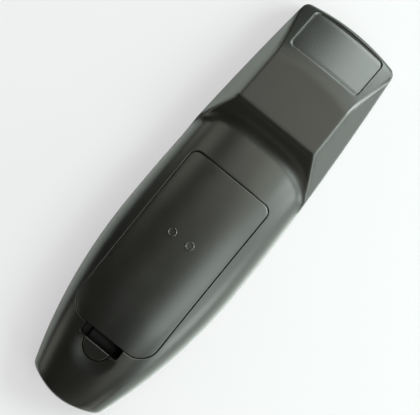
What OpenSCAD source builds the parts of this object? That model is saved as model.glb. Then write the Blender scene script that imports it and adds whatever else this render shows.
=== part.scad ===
// Hand-held universal remote control, lying on its keys with its back up.
// X runs along the body to the head, Z up out of the back, and Z = 0 is the rim that it rests on.

/* [Body] */
// Length from tail to head
body_len = 186; // [180:1:200]
// Width across the widest place
body_w = 56.8; // [54:0.2:62]
// Distance from the tail to the widest place
widest_at = 77; // [70:1:84]
// Narrowing of each side at the tail end
tail_in = 14; // [11:0.1:15]
// Narrowing of each side where the head's side facets begin
neck_in = 1.25; // [0.5:0.05:2.5]
// Narrowing of each side at the head end
head_in = 6.4; // [4:0.1:7]
// Depth of the curve of the tail end
tail_bow = 3.2; // [1:0.1:4]
// Depth of the curve of the head end
head_bow = 2; // [1:0.1:4]
// Radius of the four corners in plan
corner_r = 3.2; // [2.5:0.1:4]
// Height of the seam between the two shells
seam_h = 9.5; // [9.3:0.1:10.5]
// Wall of the rear shell
rear_wall = 2.2; // [1.8:0.1:2.6]
// Side wall of the front shell
front_wall = 2; // [1.6:0.1:2.2]
// Radius of the edge round the front face
front_edge_r = 4; // [3:0.1:4.5]
// Radius of the top edge at the tail and head ends
end_edge_r = 2; // [1:0.1:3]

/* [Back] */
// Room between the cells and the battery cover
crown_room = 2.05; // [1.6:0.05:3]
// Distance of the crown from the tail
crown_at = 83; // [78:1:88]
// Radius of the crown line towards the tail
crown_tail_r = 680; // [500:10:900]
// Radius of the crown line towards the head
crown_head_r = 330; // [300:5:420]
// Extra fall of the crown line at the tail end
tail_fall = 7.7; // [5:0.1:9]
// Fullness of the barrel's cross section
fullness = 2.9; // [2.4:0.1:3.4]
// Rise of the head's top edge over the crown
head_rise = 2; // [1:0.1:4]
// Share of the body's length from that edge to the head end
head_share = 0.2618; // [0.24:0.001:0.28]
// Steepness of the groove's rising face, in degrees
groove_slope = 36; // [30:1:42]
// Radius that blends the groove into the barrel
groove_blend = 5; // [3:0.5:7]
// Fall of the head's flat top, in degrees
top_slope = 5.5; // [3:0.5:8]
// Distance of the label slope from the head end
label_slope_at = 22.3; // [20:0.1:25]
// Fall of the label slope, in degrees
label_slope = 27.5; // [22:0.5:30]
// Radius of the label slope's crown from side to side
label_crown_r = 160; // [120:5:400]
// Height over the seam at which the head's side facets begin
facet_rise = 9; // [7.5:0.1:10.5]
// Steepness of the side facets, in degrees
facet_slope = 59.5; // [55:0.5:64]
// Rounding of the edges between the head's faces
head_edge_blend = 1.2; // [0.8:0.1:2]
// Length of the label recess down the slope
label_len = 18.4; // [14:0.2:19]
// Width of the label recess
label_w = 33.4; // [28:0.2:34]
// Depth of the label recess
label_depth = 0.5; // [0.3:0.1:0.8]

/* [Battery cover] */
// Length of the battery cover
cover_len = 79.6; // [78:0.2:82]
// Width of the battery cover
cover_w = 38.8; // [37:0.2:41]
// Share of the body's length that lies behind the cover
tail_share = 0.1667; // [0.15:0.001:0.18]
// Thickness of the cover
cover_t = 1.8; // [1.4:0.1:2]
// Gap round the cover
cover_gap = 0.3; // [0.25:0.05:0.5]
// Gap between the cover and the shelf under it
seat_gap = 0.2; // [0.15:0.05:0.3]
// Corner radius at the cover's front edge
cover_front_r = 3.5; // [2.5:0.1:5]
// Corner radius at the cover's latch edge
cover_latch_r = 8.6; // [6:0.1:9]
// Width of the shelf that the cover rests on
shelf_w = 1.8; // [1.2:0.1:2.4]
// Thickness of that shelf
shelf_t = 1.6; // [1.2:0.1:2]
// Clear width of the latch's U
latch_slot = 5; // [4.4:0.1:5.4]
// Thickness of the latch's legs
latch_t = 1.3; // [1:0.1:1.5]
// Height of the latch's pivot
latch_pivot_h = 15; // [14.6:0.1:16]
// Radius of the thumb tab
thumb_r = 6; // [5:0.1:7]
// Radius of the thumb recess in plan
thumb_recess_r = 9.5; // [9.2:0.1:10.5]
// Depth of the thumb recess
thumb_recess_depth = 3.8; // [3.6:0.1:4.5]
// Outer diameter of the two moulded rings on the cover
ring_d = 3.8; // [3:0.1:4.5]
// Spacing of the two rings
ring_pitch = 9; // [7:0.5:12]
// Height of the rings over the cover
ring_h = 0.25; // [0.2:0.05:0.4]

/* [Batteries] */
// Diameter of a cell
cell_d = 14.5; // [14:0.1:14.5]
// Length of a cell with its button
cell_len = 50.5; // [49.5:0.1:50.5]
// Gap between the two cells
cell_gap = 0.5; // [0.3:0.1:0.9]
// Length of a contact spring as fitted
spring_len = 6; // [5:0.1:6.5]
// Wire of the contact springs
spring_wire = 0.7; // [0.5:0.05:0.8]
// Thickness of the contact plates
plate_t = 0.4; // [0.3:0.05:0.5]
// Thickness of the battery tray's floor and walls
tray_t = 1.2; // [1:0.1:1.4]

/* [Keys and board] */
// Depth of the key field below the rim
key_recess = 1.6; // [1.4:0.1:1.8]
// Distance of the key field from the outline
field_inset = 6; // [5.6:0.1:6.2]
// Thickness of the front face
face_t = 1.8; // [1.6:0.1:2]
// Travel of a key
key_travel = 0.7; // [0.5:0.05:0.7]
// Height of the key tops over the rim plane
key_sink = 0.45; // [0.3:0.05:0.8]
// Gap round a key in the front face
key_gap = 0.25; // [0.2:0.05:0.35]
// Reach of a key's flange beyond its cap
flange_w = 0.8; // [0.6:0.05:0.8]
// Thickness of a key's flange
flange_t = 0.6; // [0.5:0.05:0.7]
// Thickness of the rubber sheet
sheet_t = 0.6; // [0.5:0.05:0.6]
// Thickness of the circuit board
board_t = 1.2; // [0.8:0.1:1.2]
// Distance of the top keys from the head end
keys_head_in = 17; // [16:0.5:20]
// Distance of the last digit row from the tail end
keys_tail_in = 29; // [27:0.5:33]
// Diameter of the case screw's shank
screw_d = 2.6; // [2.2:0.1:2.8]

/* [Hidden] */
$fn = 48;
case_colour = "#3a3b38";
key_colour = "#6c6f70";
steel = "#b9bcbd";
slack = 0.05;
running_gap = 0.3;
over = 1;
tray_room = 1.8;
cell_pitch = cell_d + cell_gap;

// Heights through the stack, from the rim up
face_in_z = key_recess + face_t;
flange_z = face_in_z + slack;
board_z = flange_z + flange_t + key_travel + slack + sheet_t;
board_top_z = board_z + board_t;
tray_z = board_top_z + tray_room;
tray_top_z = tray_z + tray_t;
cell_z = tray_top_z + slack + cell_d / 2;
crown_h = cell_z + cell_d / 2 + crown_room + cover_t;
head_h = crown_h + head_rise;
facet_h = seam_h + facet_rise;

// Places along the body
tail_x = -body_len / 2;
head_x = body_len / 2;
wide_x = tail_x + widest_at;
crown_x = tail_x + crown_at;
edge_x = head_x - head_share * body_len;
label_x = head_x - label_slope_at;
neck_x = edge_x - (head_h - facet_h) / tan(groove_slope);
fall_x = tail_x + 48;
cover_latch_x = tail_x + tail_share * body_len;
cover_front_x = cover_latch_x + cover_len;

// Rows and columns of the keys, which spread over the key field
nav_row = 13.5;
row_step = (body_len - keys_head_in - keys_tail_in - 2 * nav_row) / 10.5;
top_row_x = head_x - keys_head_in;
menu_x = top_row_x - 4 * row_step;
nav_x = menu_x - nav_row;
exit_x = nav_x - nav_row;
digit_x = exit_x - 3.5 * row_step;
top_margin = 16.5;
side_margin = 13;
rocker_margin = 15;
digit_margin = 16.4;
device_margin = 14.6;
top_y = body_w / 2 - top_margin;
side_y = body_w / 2 - side_margin;
rocker_y = body_w / 2 - rocker_margin;
column_pitch = body_w / 2 - digit_margin;
device_pitch = 2 * (body_w / 2 - device_margin) / 3;
top_d = 9;
bar_len = 6.2;
side_w = 8;
bar_gap = 3.4;
device_gap = 2.2;
bar_w = column_pitch - bar_gap;
device_w = device_pitch - device_gap;
nav_clear = 2;
nav_band = 6;
ok_clear = 2.2;
nav_out = norm([nav_row - bar_len / 2, side_y - side_w / 2]) - nav_clear;
nav_in = nav_out - nav_band;
ok_d = 2 * (nav_in - ok_clear);

// Keys: name, place, size in X and Y, and kind of plan
KEYS = concat(
    [["key_power", top_row_x, top_y, top_d, top_d, "round"],
     ["key_setup", top_row_x, -top_y, top_d, top_d, "round"]],
    [for (i = [0 : 3])
        [str("key_device_", i + 1), top_row_x - row_step, device_pitch * (i - 1.5), bar_len, device_w, "bar"]],
    [for (i = [0 : 5])
        [["key_rewind", "key_play", "key_forward", "key_record", "key_stop", "key_pause"][i],
         top_row_x - row_step * (i < 3 ? 2 : 3), column_pitch * (i % 3 - 1), bar_len, bar_w, "bar"]],
    [["key_menu", menu_x, -side_y, bar_len, side_w, "bar"],
     ["key_guide", menu_x, side_y, bar_len, side_w, "bar"]],
    [["key_ok", nav_x, 0, ok_d, ok_d, "round"]],
    [for (i = [0 : 3])
        [["key_up", "key_right", "key_down", "key_left"][i], nav_x, 0, 90 * i, 0, "sector"]],
    [["key_exit", exit_x, -side_y, bar_len, side_w, "bar"],
     ["key_info", exit_x, side_y, bar_len, side_w, "bar"]],
    [for (i = [0 : 5])
        [["key_volume_up", "key_mute", "key_channel_up",
          "key_volume_down", "key_recall", "key_channel_down"][i],
         exit_x - row_step * (i < 3 ? 1 : 2), rocker_y * (i % 3 - 1), bar_len, side_w, "bar"]],
    [for (i = [0 : 11])
        [str("key_digit_", ["1", "2", "3", "4", "5", "6", "7", "8", "9", "dash", "0", "enter"][i]),
         digit_x - row_step * floor(i / 3), column_pitch * (i % 3 - 1), bar_len, bar_w, "bar"]]);

// Plan of the body: a curve to the tail, a flatter curve to the neck, then straight sides to the head
function arc_r(run, drop) = (run * run + drop * drop) / (2 * drop);
function arc_drop(r, run) = r - sqrt(r * r - run * run);
tail_side_r = arc_r(widest_at, tail_in);
neck_side_r = arc_r(neck_x - wide_x, neck_in);
neck_run = neck_x - wide_x;
head_run = head_x - neck_x;
// The head's side leaves the neck in line and swells by this before it narrows to the end
head_swell = (head_in - neck_in - head_run * neck_run / sqrt(neck_side_r * neck_side_r - neck_run * neck_run)) / 4;
function half_w(x) =
    x < wide_x ? body_w / 2 - arc_drop(tail_side_r, wide_x - x)
    : x < neck_x ? body_w / 2 - arc_drop(neck_side_r, x - wide_x)
    : let (u = (x - neck_x) / head_run)
        body_w / 2 - neck_in - (head_in - neck_in) * u + 4 * head_swell * u * (1 - u);

// Blends: a soft higher-of-two for hollows, and a soft lower-of-two for edges
function blend(a, b, k) = pow(max(k - abs(a - b), 0) / k, 2) * k / 4;
function soft_max(a, b, k) = max(a, b) + blend(a, b, k);
function soft_min(a, b, k) = min(a, b) - blend(a, b, k);

// Height of the back at a place, for a skin that lies a depth below the outside
function crown_z(x) =
    crown_h - pow(x - crown_x, 2) / 2 / (x < crown_x ? crown_tail_r : crown_head_r)
    - tail_fall * pow(max(fall_x - x, 0) / (fall_x - tail_x), 2);
function barrel_z(x, y, depth) =
    let (u = min(1, abs(y) / (half_w(x) - depth)))
    seam_h + (crown_z(x) - depth - seam_h) * pow(1 - pow(u, fullness), 1 / fullness);
function groove_z(x) = head_h - (edge_x - x) * tan(groove_slope);
function top_z(x) = head_h - (x - edge_x) * tan(top_slope);
function label_z(x, y = 0) =
    top_z(label_x) - (x - label_x) * tan(label_slope) - y * y / 2 / label_crown_r;
function facet_z(x, y, depth) =
    facet_h + (half_w(x) - abs(y)) * tan(facet_slope) - depth / cos(facet_slope);
function head_z(x, y, depth) =
    let (ridge = min(groove_z(x) - depth / cos(groove_slope), top_z(x) - depth / cos(top_slope)))
    let (roof = soft_min(ridge, label_z(x, y) - depth / cos(label_slope), head_edge_blend))
    soft_min(roof, facet_z(x, y, depth), head_edge_blend);
function back_z(x, y, depth = 0) =
    soft_max(barrel_z(x, y, depth), head_z(x, y, depth), groove_blend);

// Stations along the body, each with its bow, its half width and the fall of its end rounding
function end_run(x, inset) = min(x - tail_x, head_x - x) - inset;
function quarter(r, run) = run >= r ? 0 : r - sqrt(max(0, r * r - pow(r - run, 2)));
function bow(x) =
    x < 0 ? tail_bow * max(0, 1 - (x - tail_x) / 30) : -head_bow * max(0, 1 - (head_x - x) / 30);
function plan_r(inset) = max(corner_r - inset, 0.4);
function station_w(x, inset) =
    half_w(x + bow(x)) - inset - quarter(plan_r(inset), end_run(x, inset));
function span(a, b, n) = [for (i = [0 : n - 1]) a + (b - a) * i / n];
end_steps = [0, 0.25, 0.7, 1.4, 2.3, 3.4];
function stations(inset, fine = 1) =
    concat([for (e = end_steps) tail_x + inset + e],
        span(tail_x + inset + 6, neck_x - 4, round(19 * fine)), span(neck_x - 4, edge_x - 2, round(14 * fine)),
        span(edge_x - 2, edge_x + 2, 4), span(edge_x + 2, label_x - 3, round(4 * fine)),
        span(label_x - 3, label_x + 3, 4), span(label_x + 3, head_x - inset - 5, round(4 * fine)),
        [for (i = [len(end_steps) - 1 : -1 : 0]) head_x - inset - end_steps[i]]);

// Columns across the body: even up to the facet's ridge, then closer out to the side
rim_steps = [0.4, 0.7, 0.87, 0.96, 1];
function ridge_share(x) =
    x < neck_x ? 0.93
    : let (roof = min(groove_z(x), top_z(x), label_z(x)))
      min(0.93, max(0.5, 1 - (roof - facet_h) / tan(facet_slope) / half_w(x)));
function half_columns(x, n) =
    let (r = ridge_share(x))
    concat([for (i = [0 : n]) r * i / n], [for (e = rim_steps) r + (1 - r) * e]);
function columns(x, n) =
    let (h = half_columns(x, n))
    concat([for (i = [len(h) - 1 : -1 : 1]) -h[i]], h);

// The outline of the body in plan, drawn in by an inset
function outline(inset) =
    let (xs = stations(inset))
    let (last = len(xs) - 1)
    let (share = [for (i = [-6 : 6]) i / 6])
    concat(
        [for (x = xs) [x + bow(x), -station_w(x, inset)]],
        [for (f = share) [xs[last] + bow(xs[last]) * f * f, f * station_w(xs[last], inset)]],
        [for (i = [last : -1 : 0]) [xs[i] + bow(xs[i]), station_w(xs[i], inset)]],
        [for (f = share) [xs[0] + bow(xs[0]) * f * f, -f * station_w(xs[0], inset)]]);
module plan(inset) {
    polygon(outline(inset));
}

// The solid under the back's skin at a depth, down to a flat floor
function skin_row(x, inset, n) =
    let (w = station_w(x, inset))
    let (fall = quarter(end_edge_r, end_run(x, inset)))
    [for (f = columns(x, n))
        let (y = f * w)
        let (top = back_z(x + bow(x), f * (half_w(x + bow(x)) - inset), inset) - fall)
        [x + bow(x) * f * f, y, abs(f) == 1 ? seam_h : max(top, seam_h)]];
module back_body(inset, floor_z, n, fine) {
    xs = stations(inset, fine);
    rows = [for (x = xs) skin_row(x, inset, n)];
    ns = len(xs);
    nc = len(rows[0]);
    top = [for (r = rows) each r];
    low = [for (r = rows) for (p = r) [p[0], p[1], floor_z]];
    skin = [for (i = [0 : ns - 2]) for (j = [0 : nc - 2]) each
        [[i * nc + j, i * nc + j + 1, (i + 1) * nc + j],
         [i * nc + j + 1, (i + 1) * nc + j + 1, (i + 1) * nc + j]]];
    base = ns * nc;
    left = [for (i = [0 : ns - 1]) i * nc];
    front = [for (j = [1 : nc - 1]) (ns - 1) * nc + j];
    right = [for (i = [ns - 2 : -1 : 0]) i * nc + nc - 1];
    back = [for (j = [nc - 2 : -1 : 1]) j];
    rim = concat(left, front, right, back);
    m = len(rim);
    walls = [for (i = [0 : m - 1]) each
        [[rim[i], rim[(i + 1) % m], base + rim[i]],
         [rim[(i + 1) % m], base + rim[(i + 1) % m], base + rim[i]]]];
    polyhedron(concat(top, low), concat(skin, walls, [[for (v = rim) base + v]]), convexity = 8);
}

// A curved slab that follows the back, inside the battery cover's outline
function cover_half_w(x, grow) =
    let (front_run = cover_front_x + grow - x)
    let (latch_run = x - cover_latch_x + grow)
    cover_w / 2 + grow
    - max(quarter(cover_front_r + grow, front_run), quarter(cover_latch_r + grow, latch_run));
function cover_stations(grow) =
    let (a = cover_latch_x - grow)
    let (b = cover_front_x + grow)
    concat([for (i = [0 : 4]) a + (cover_latch_r + grow) * (1 - cos(18 * i))],
        span(a + cover_latch_r + grow, b - cover_front_r - grow, 13),
        [for (i = [0 : 4]) b - (cover_front_r + grow) * (1 - sin(18 * i))], [b]);
module cover_slab(grow, depth_top, depth_low) {
    xs = cover_stations(grow);
    share = [for (j = [-8 : 8]) j / 8];
    ns = len(xs);
    nc = len(share);
    ys = [for (x = xs) max(cover_half_w(x, grow), 0.5)];
    top = [for (i = [0 : ns - 1]) for (f = share)
        [xs[i], f * ys[i], back_z(xs[i], f * ys[i]) - depth_top]];
    low = [for (i = [0 : ns - 1]) for (f = share)
        [xs[i], f * ys[i], back_z(xs[i], f * ys[i]) - depth_low]];
    base = ns * nc;
    skin = [for (i = [0 : ns - 2]) for (j = [0 : nc - 2]) each
        [[i * nc + j, i * nc + j + 1, (i + 1) * nc + j],
         [i * nc + j + 1, (i + 1) * nc + j + 1, (i + 1) * nc + j]]];
    under = [for (t = skin) [base + t[0], base + t[2], base + t[1]]];
    rim = concat([for (i = [0 : ns - 1]) i * nc], [for (j = [1 : nc - 1]) (ns - 1) * nc + j],
        [for (i = [ns - 2 : -1 : 0]) i * nc + nc - 1], [for (j = [nc - 2 : -1 : 1]) j]);
    m = len(rim);
    walls = [for (i = [0 : m - 1]) each
        [[rim[i], rim[(i + 1) % m], base + rim[i]],
         [rim[(i + 1) % m], base + rim[(i + 1) % m], base + rim[i]]]];
    polyhedron(concat(top, low), concat(skin, under, walls), convexity = 4);
}

// Pieces of the battery bay and the latch, placed from the cover
bay_x1 = cover_front_x - 3.1;
bay_x0 = bay_x1 - plate_t - cell_len - spring_len - 2 * slack;
bay_half = cell_pitch / 2 + cell_d / 2 + 0.6;
leg_x = cover_latch_x - latch_slot;
leg_w = 2 * thumb_r;
pivot_x = leg_x - latch_t / 2;
latch_sweep = 1;
pocket_x0 = leg_x - latch_t - latch_sweep;
pocket_x1 = bay_x0 - plate_t - tray_t;
slot_w = 2 * thumb_recess_r;
tab_w = 6.6;
tab_y = 8;
tab_t = 1.2;
tab_reach = 2;
tab_swing = 0.8;
tab_room = tab_w + 2 * running_gap;
lip_t = 1.1;
tab_top_z = back_z(cover_front_x + tab_reach, tab_y + tab_w / 2 + running_gap) - lip_t - running_gap;
screw_x = digit_x + 0.75 * row_step;
boss_d = screw_d + 2.2;
screw_head_d = 2 * screw_d - 0.2;
screw_head_t = 1.5;

// A block with rounded upright edges, from one corner to the other
module round_block(low, high, r) {
    hull()
        for (x = [low[0] + r, high[0] - r])
            for (y = [low[1] + r, high[1] - r])
                translate([x, y, low[2]])
                    cylinder(r = r, h = high[2] - low[2], $fn = 20);
}
// The same block, centred on the body
module mid_block(x0, x1, half, z0, z1, r) {
    round_block([x0, -half, z0], [x1, half, z1], r);
}

// The spherical dish under the thumb tab
dish_r = arc_r(thumb_recess_r, thumb_recess_depth);
module dish_ball(grow) {
    up = dish_r - thumb_recess_depth;
    translate([leg_x - up * sin(tab_tilt), 0, crown_z(leg_x) + up * cos(tab_tilt)])
        sphere(r = dish_r + grow, $fn = 64);
}

// The tray that holds the cells, with the latch pocket behind it
module tray() {
    intersection() {
        back_body(rear_wall / 2, tray_z - over, 5, 0.5);
        union() {
            mid_block(bay_x0 - plate_t - tray_t, bay_x1 + tray_t, bay_half + tray_t, tray_z, crown_h, 1.5);
            mid_block(pocket_x0 - tray_t, pocket_x1 + 2 * tray_t, slot_w / 2 + tray_t, tray_z, crown_h, 1.5);
            intersection() {
                dish_ball(tray_t);
                translate([tail_x, -body_w, tray_z])
                    cube([leg_x - tail_x, 2 * body_w, crown_h]);
            }
        }
    }
    for (x = [bay_x0 + 4, bay_x1 - 4])
        for (y = [-bay_half + 2, bay_half - 2])
            translate([x, y, board_top_z])
                cylinder(d = 4, h = tray_z - board_top_z + tray_t / 2, $fn = 24);
}

// Upright slots in the tray floor for the contacts' tails
tail_w_contact = 3;
module contact_slots() {
    for (side = [-1, 1])
        mid_slot(bay_x1 - plate_t / 2, side * cell_pitch / 2);
    mid_slot(bay_x0 - plate_t / 2, 0);
}
module mid_slot(x, y) {
    half = tail_w_contact / 2 + running_gap;
    round_block([x - plate_t / 2 - running_gap, y - half, tray_z - over],
        [x + plate_t / 2 + running_gap, y + half, tray_top_z + over], 0.2);
}

// The label's shallow recess on the head's slope
module label_recess() {
    translate([label_x, 0, label_z(label_x)])
        rotate([0, label_slope, 0])
            difference() {
                round_block([3, -label_w / 2, -2 * over], [3 + label_len, label_w / 2, over], 1.8);
                translate([0, 0, -label_depth - label_crown_r / cos(label_slope)])
                    rotate([0, 90, 0])
                        cylinder(r = label_crown_r / cos(label_slope), h = 2 * label_len, $fn = 240);
            }
}

// Ribs across the inside of the head, which stiffen its flat top
module head_ribs() {
    intersection() {
        back_body(rear_wall / 2, seam_h, 5, 0.5);
        for (x = [edge_x + 6, label_x - 4])
            round_block([x, -body_w / 2, seam_h + 8], [x + tray_t, body_w / 2, head_h], 0.3);
    }
}

module rear_shell() {
    color(case_colour)
        difference() {
            union() {
                difference() {
                    back_body(0, seam_h, 8, 1);
                    back_body(rear_wall, seam_h - over, 5, 0.5);
                }
                cover_slab(cover_gap + shelf_w, cover_t + seat_gap, cover_t + seat_gap + shelf_t);
                tray();
                head_ribs();
            }
            cover_slab(cover_gap, -over, cover_t + seat_gap);
            mid_block(bay_x0 - plate_t, bay_x1, bay_half, tray_top_z, head_h, 1);
            mid_block(leg_x - slack, pocket_x1, slot_w / 2, tray_top_z, head_h, 1);
            mid_block(pocket_x0, leg_x + latch_slot, leg_w / 2 + running_gap, tray_top_z, head_h, 1);
            intersection() {
                dish_ball(0);
                translate([tail_x, -body_w, 0])
                    cube([leg_x - tail_x, 2 * body_w, head_h]);
            }
            for (side = [-1, 1])
                translate([bay_x1 - tray_t, side * tab_y - tab_room / 2, tab_top_z - tab_t - tab_swing]) {
                    cube([cover_front_x + tab_reach + tab_swing - bay_x1 + tray_t, tab_room,
                        tab_t + tab_swing + running_gap]);
                    cube([cover_front_x - bay_x1 + tray_t, tab_room, head_h]);
                }
            contact_slots();
            label_recess();
            translate([screw_x, 0, tray_z - over])
                cylinder(d = screw_d + 2 * running_gap, h = tray_t + 2 * over);
        }
}

module battery_cover() {
    color(case_colour) {
        difference() {
            union() {
                cover_slab(0, 0, cover_t);
                for (side = [-1, 1])
                    cover_tab(side);
                translate([cover_latch_x, -leg_w / 2, latch_pivot_h])
                    cube([latch_t, leg_w, back_z(cover_latch_x, leg_w / 2) - cover_t / 2 - latch_pivot_h]);
                latch_bend();
            }
            translate([pivot_x, 0, latch_pivot_h])
                rotate([90, 0, 0])
                    cylinder(d = latch_t + 2 * running_gap, h = leg_w + 2 * over, center = true);
        }
        for (side = [-1, 1])
            moulded_ring(side);
    }
}
module cover_tab(side) {
    low = tab_top_z - tab_t;
    translate([cover_front_x - 2, side * tab_y - tab_w / 2, low])
        cube([2 + tab_reach, tab_w, tab_t]);
    translate([cover_front_x - 2, side * tab_y - tab_w / 2, low])
        cube([1.6, tab_w, tab_t + 0.7]);
}
module latch_bend() {
    translate([cover_latch_x - latch_slot / 2, 0, latch_pivot_h])
        rotate([90, 0, 0])
            difference() {
                cylinder(d = latch_slot + 2 * latch_t, h = leg_w, center = true);
                cylinder(d = latch_slot, h = leg_w + 2 * over, center = true);
                translate([-latch_slot, 0, -leg_w])
                    cube([2 * latch_slot, 2 * latch_slot, 2 * leg_w]);
            }
}
ring_x = cover_front_x - 31.2;
module moulded_ring(side) {
    y = side * ring_pitch / 2;
    translate([ring_x, y, back_z(ring_x, y) - cover_t / 2])
        difference() {
            cylinder(d = ring_d, h = cover_t / 2 + ring_h);
            translate([0, 0, cover_t / 2])
                cylinder(d = ring_d - 1.2, h = ring_h + over);
        }
}

// The latch leg turns on a round root, and carries the thumb tab and a small catch
tab_tilt = atan((crown_z(leg_x) - crown_z(leg_x - thumb_r)) / thumb_r);
thumb_z = crown_z(leg_x) - 0.7;
thumb_t = 1;
module cover_latch() {
    color(case_colour) {
        translate([pivot_x, 0, latch_pivot_h])
            rotate([90, 0, 0])
                cylinder(d = latch_t, h = leg_w, center = true);
        translate([leg_x - latch_t, -leg_w / 2, latch_pivot_h])
            cube([latch_t, leg_w, thumb_z - latch_pivot_h - thumb_t / 2]);
        translate([leg_x, 0, thumb_z])
            rotate([0, -tab_tilt, 0])
                translate([0, 0, -thumb_t])
                    intersection() {
                        cylinder(r = thumb_r, h = thumb_t);
                        translate([-2 * thumb_r, -thumb_r, 0])
                            cube([2 * thumb_r, 2 * thumb_r, thumb_t]);
                    }
        translate([leg_x - latch_t, leg_w / 3, latch_pivot_h + 2])
            rotate([90, 0, 0])
                linear_extrude(2 * leg_w / 3)
                    polygon([[0.1, 0], [-0.6 * latch_sweep, 1.2], [0.1, 1.2]]);
    }
}

// The front shell: a tray with a rounded edge, a sunken key field and a lip inside the seam
module edge_stack() {
    hull()
        for (a = [0 : 18 : 90])
            translate([0, 0, front_edge_r * (1 - sin(a))])
                linear_extrude(seam_h - front_edge_r * (1 - sin(a)))
                    plan(front_edge_r * (1 - cos(a)));
}
lip_h = 1.4;
lip_inset = rear_wall + 0.15;
lip_wall = 1;
window_half = 12;
window_z0 = 2.7;
window_z1 = seam_h - 1.2;
led_hole_x = top_row_x;
module front_shell() {
    color(case_colour)
        difference() {
            union() {
                difference() {
                    edge_stack();
                    translate([0, 0, face_in_z])
                        linear_extrude(seam_h)
                            plan(front_wall);
                }
                translate([0, 0, seam_h - 2.4])
                    linear_extrude(2.4)
                        difference() {
                            plan(front_wall - 0.3);
                            plan(lip_inset + lip_wall);
                        }
                translate([0, 0, seam_h - over])
                    linear_extrude(lip_h + over)
                        difference() {
                            plan(lip_inset);
                            plan(lip_inset + lip_wall);
                        }
                translate([screw_x, 0, face_in_z - over / 2])
                    cylinder(d = boss_d, h = tray_z - face_in_z + over / 2);
            }
            translate([0, 0, -over])
                linear_extrude(key_recess + over)
                    plan(field_inset);
            translate([0, 0, key_recess - over / 2])
                linear_extrude(face_t + over) {
                    for (k = KEYS)
                        key_plan(k, key_gap);
                    translate([led_hole_x, 0])
                        circle(d = status_d + 2 * key_gap);
                }
            translate([screw_x, 0, face_in_z - over / 4])
                cylinder(d = screw_d, h = seam_h);
            translate([head_x - 6, -window_half, window_z0])
                cube([12, 2 * window_half, window_z1 - window_z0]);
        }
}

module ir_window() {
    color("#2a0f14")
        translate([0, 0, window_z0 + slack])
            intersection() {
                linear_extrude(window_z1 - window_z0 - 2 * slack)
                    difference() {
                        plan(0.2);
                        plan(front_wall);
                    }
                translate([head_x - 6, -window_half + slack, -over])
                    cube([12, 2 * window_half - 2 * slack, seam_h]);
            }
}

// Plans of the keys, which the front face and the rubber sheet are cut to
function bar_points(a, b, r) =
    [for (q = [0 : 3]) for (s = [0 : 4])
        let (turn = 90 * q + 22.5 * s)
        [(q == 0 || q == 3 ? 1 : -1) * (a / 2 - r) + r * cos(turn),
         (q < 2 ? 1 : -1) * (b / 2 - r) + r * sin(turn)]];
nav_half = 37;
function sector_points(grow) =
    let (outer = nav_out + grow)
    let (inner = nav_in - grow)
    let (wide = nav_half + asin(grow / outer))
    let (narrow = nav_half + asin(grow / inner))
    concat([for (i = [0 : 10]) outer * [cos(wide * (i / 5 - 1)), sin(wide * (i / 5 - 1))]],
        [for (i = [0 : 6]) inner * [cos(narrow * (1 - i / 3)), sin(narrow * (1 - i / 3))]]);
module key_plan(k, grow) {
    translate([k[1], k[2]]) {
        if (k[5] == "round")
            circle(d = k[3] + 2 * grow);
        if (k[5] == "bar")
            polygon(bar_points(k[3] + 2 * grow, k[4] + 2 * grow, 2.2 + grow));
        if (k[5] == "sector")
            rotate(k[3])
                polygon(sector_points(grow));
    }
}
pill_d = 3.6;
function key_centre(k) =
    k[5] == "sector" ? [k[1], k[2]] + (nav_in + nav_out) / 2 * [cos(k[3]), sin(k[3])] : [k[1], k[2]];
module key_layer(k, grow, z, h) {
    translate([0, 0, z])
        linear_extrude(h)
            key_plan(k, grow);
}
module key(k) {
    color(k[0] == "key_power" ? "#8d2d2b" : key_colour) {
        key_layer(k, 0, key_sink, flange_z - key_sink + flange_t / 2);
        key_layer(k, flange_w, flange_z, flange_t);
        translate(concat(key_centre(k), [flange_z + flange_t / 2]))
            cylinder(d = pill_d, h = flange_t / 2 + sheet_t);
    }
}

// The rubber sheet under the keys: a web between the keys and a rim that seals on the front face
mat_inset = 4.7;
mat_rim = 0.8;
module keypad_mat() {
    color("#2c2d2e")
        difference() {
            union() {
                translate([0, 0, board_z - sheet_t])
                    linear_extrude(sheet_t)
                        plan(mat_inset);
                translate([0, 0, face_in_z])
                    linear_extrude(board_z - face_in_z - sheet_t / 2)
                        difference() {
                            plan(mat_inset + 0.2);
                            plan(mat_inset + 0.2 + mat_rim);
                        }
            }
            translate([board_end_x, -body_w, 0])
                cube([body_w, 2 * body_w, seam_h]);
            translate([led_base_x - running_gap, -led_notch, 0])
                cube([body_w, 2 * led_notch, seam_h]);
            for (k = KEYS)
                translate(concat(key_centre(k), [face_in_z + over]))
                    cylinder(d = pill_d + 2 * running_gap, h = seam_h);
            translate([screw_x, 0, 0])
                cylinder(d = boss_d + 2 * running_gap, h = seam_h);
            translate([led_hole_x, 0, 0])
                cylinder(d = status_d + 2 * running_gap, h = seam_h);
        }
}

board_inset = 4.2;
board_end_x = head_x - 9.5;
led_notch = 3.6;
led_d = 5;
led_base_x = head_x - 11.4;
led_z = board_top_z;
module circuit_board() {
    color("#2f5d3a")
        translate([0, 0, board_z])
            difference() {
                linear_extrude(board_t)
                    plan(board_inset);
                translate([board_end_x, -body_w, -over])
                    cube([body_w, 2 * body_w, board_t + 2 * over]);
                translate([led_base_x - running_gap, -led_notch, -over])
                    cube([body_w, 2 * led_notch, board_t + 2 * over]);
                translate([screw_x, 0, -over])
                    cylinder(d = boss_d + 2 * running_gap, h = board_t + 2 * over);
            }
}

led_len = 8.6;
module ir_led() {
    color("#5a4a6a") {
        translate([led_base_x, 0, led_z])
            rotate([0, 90, 0]) {
                cylinder(d = led_d + 0.8, h = 1);
                cylinder(d = led_d, h = led_len - led_d / 2);
            }
        translate([led_base_x + led_len - led_d / 2, 0, led_z])
            sphere(d = led_d);
        for (side = [-1, 1])
            translate([led_base_x - 4, side * 1.27 - 0.25, led_z])
                cube([4.2, 0.5, 0.5]);
    }
}

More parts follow.
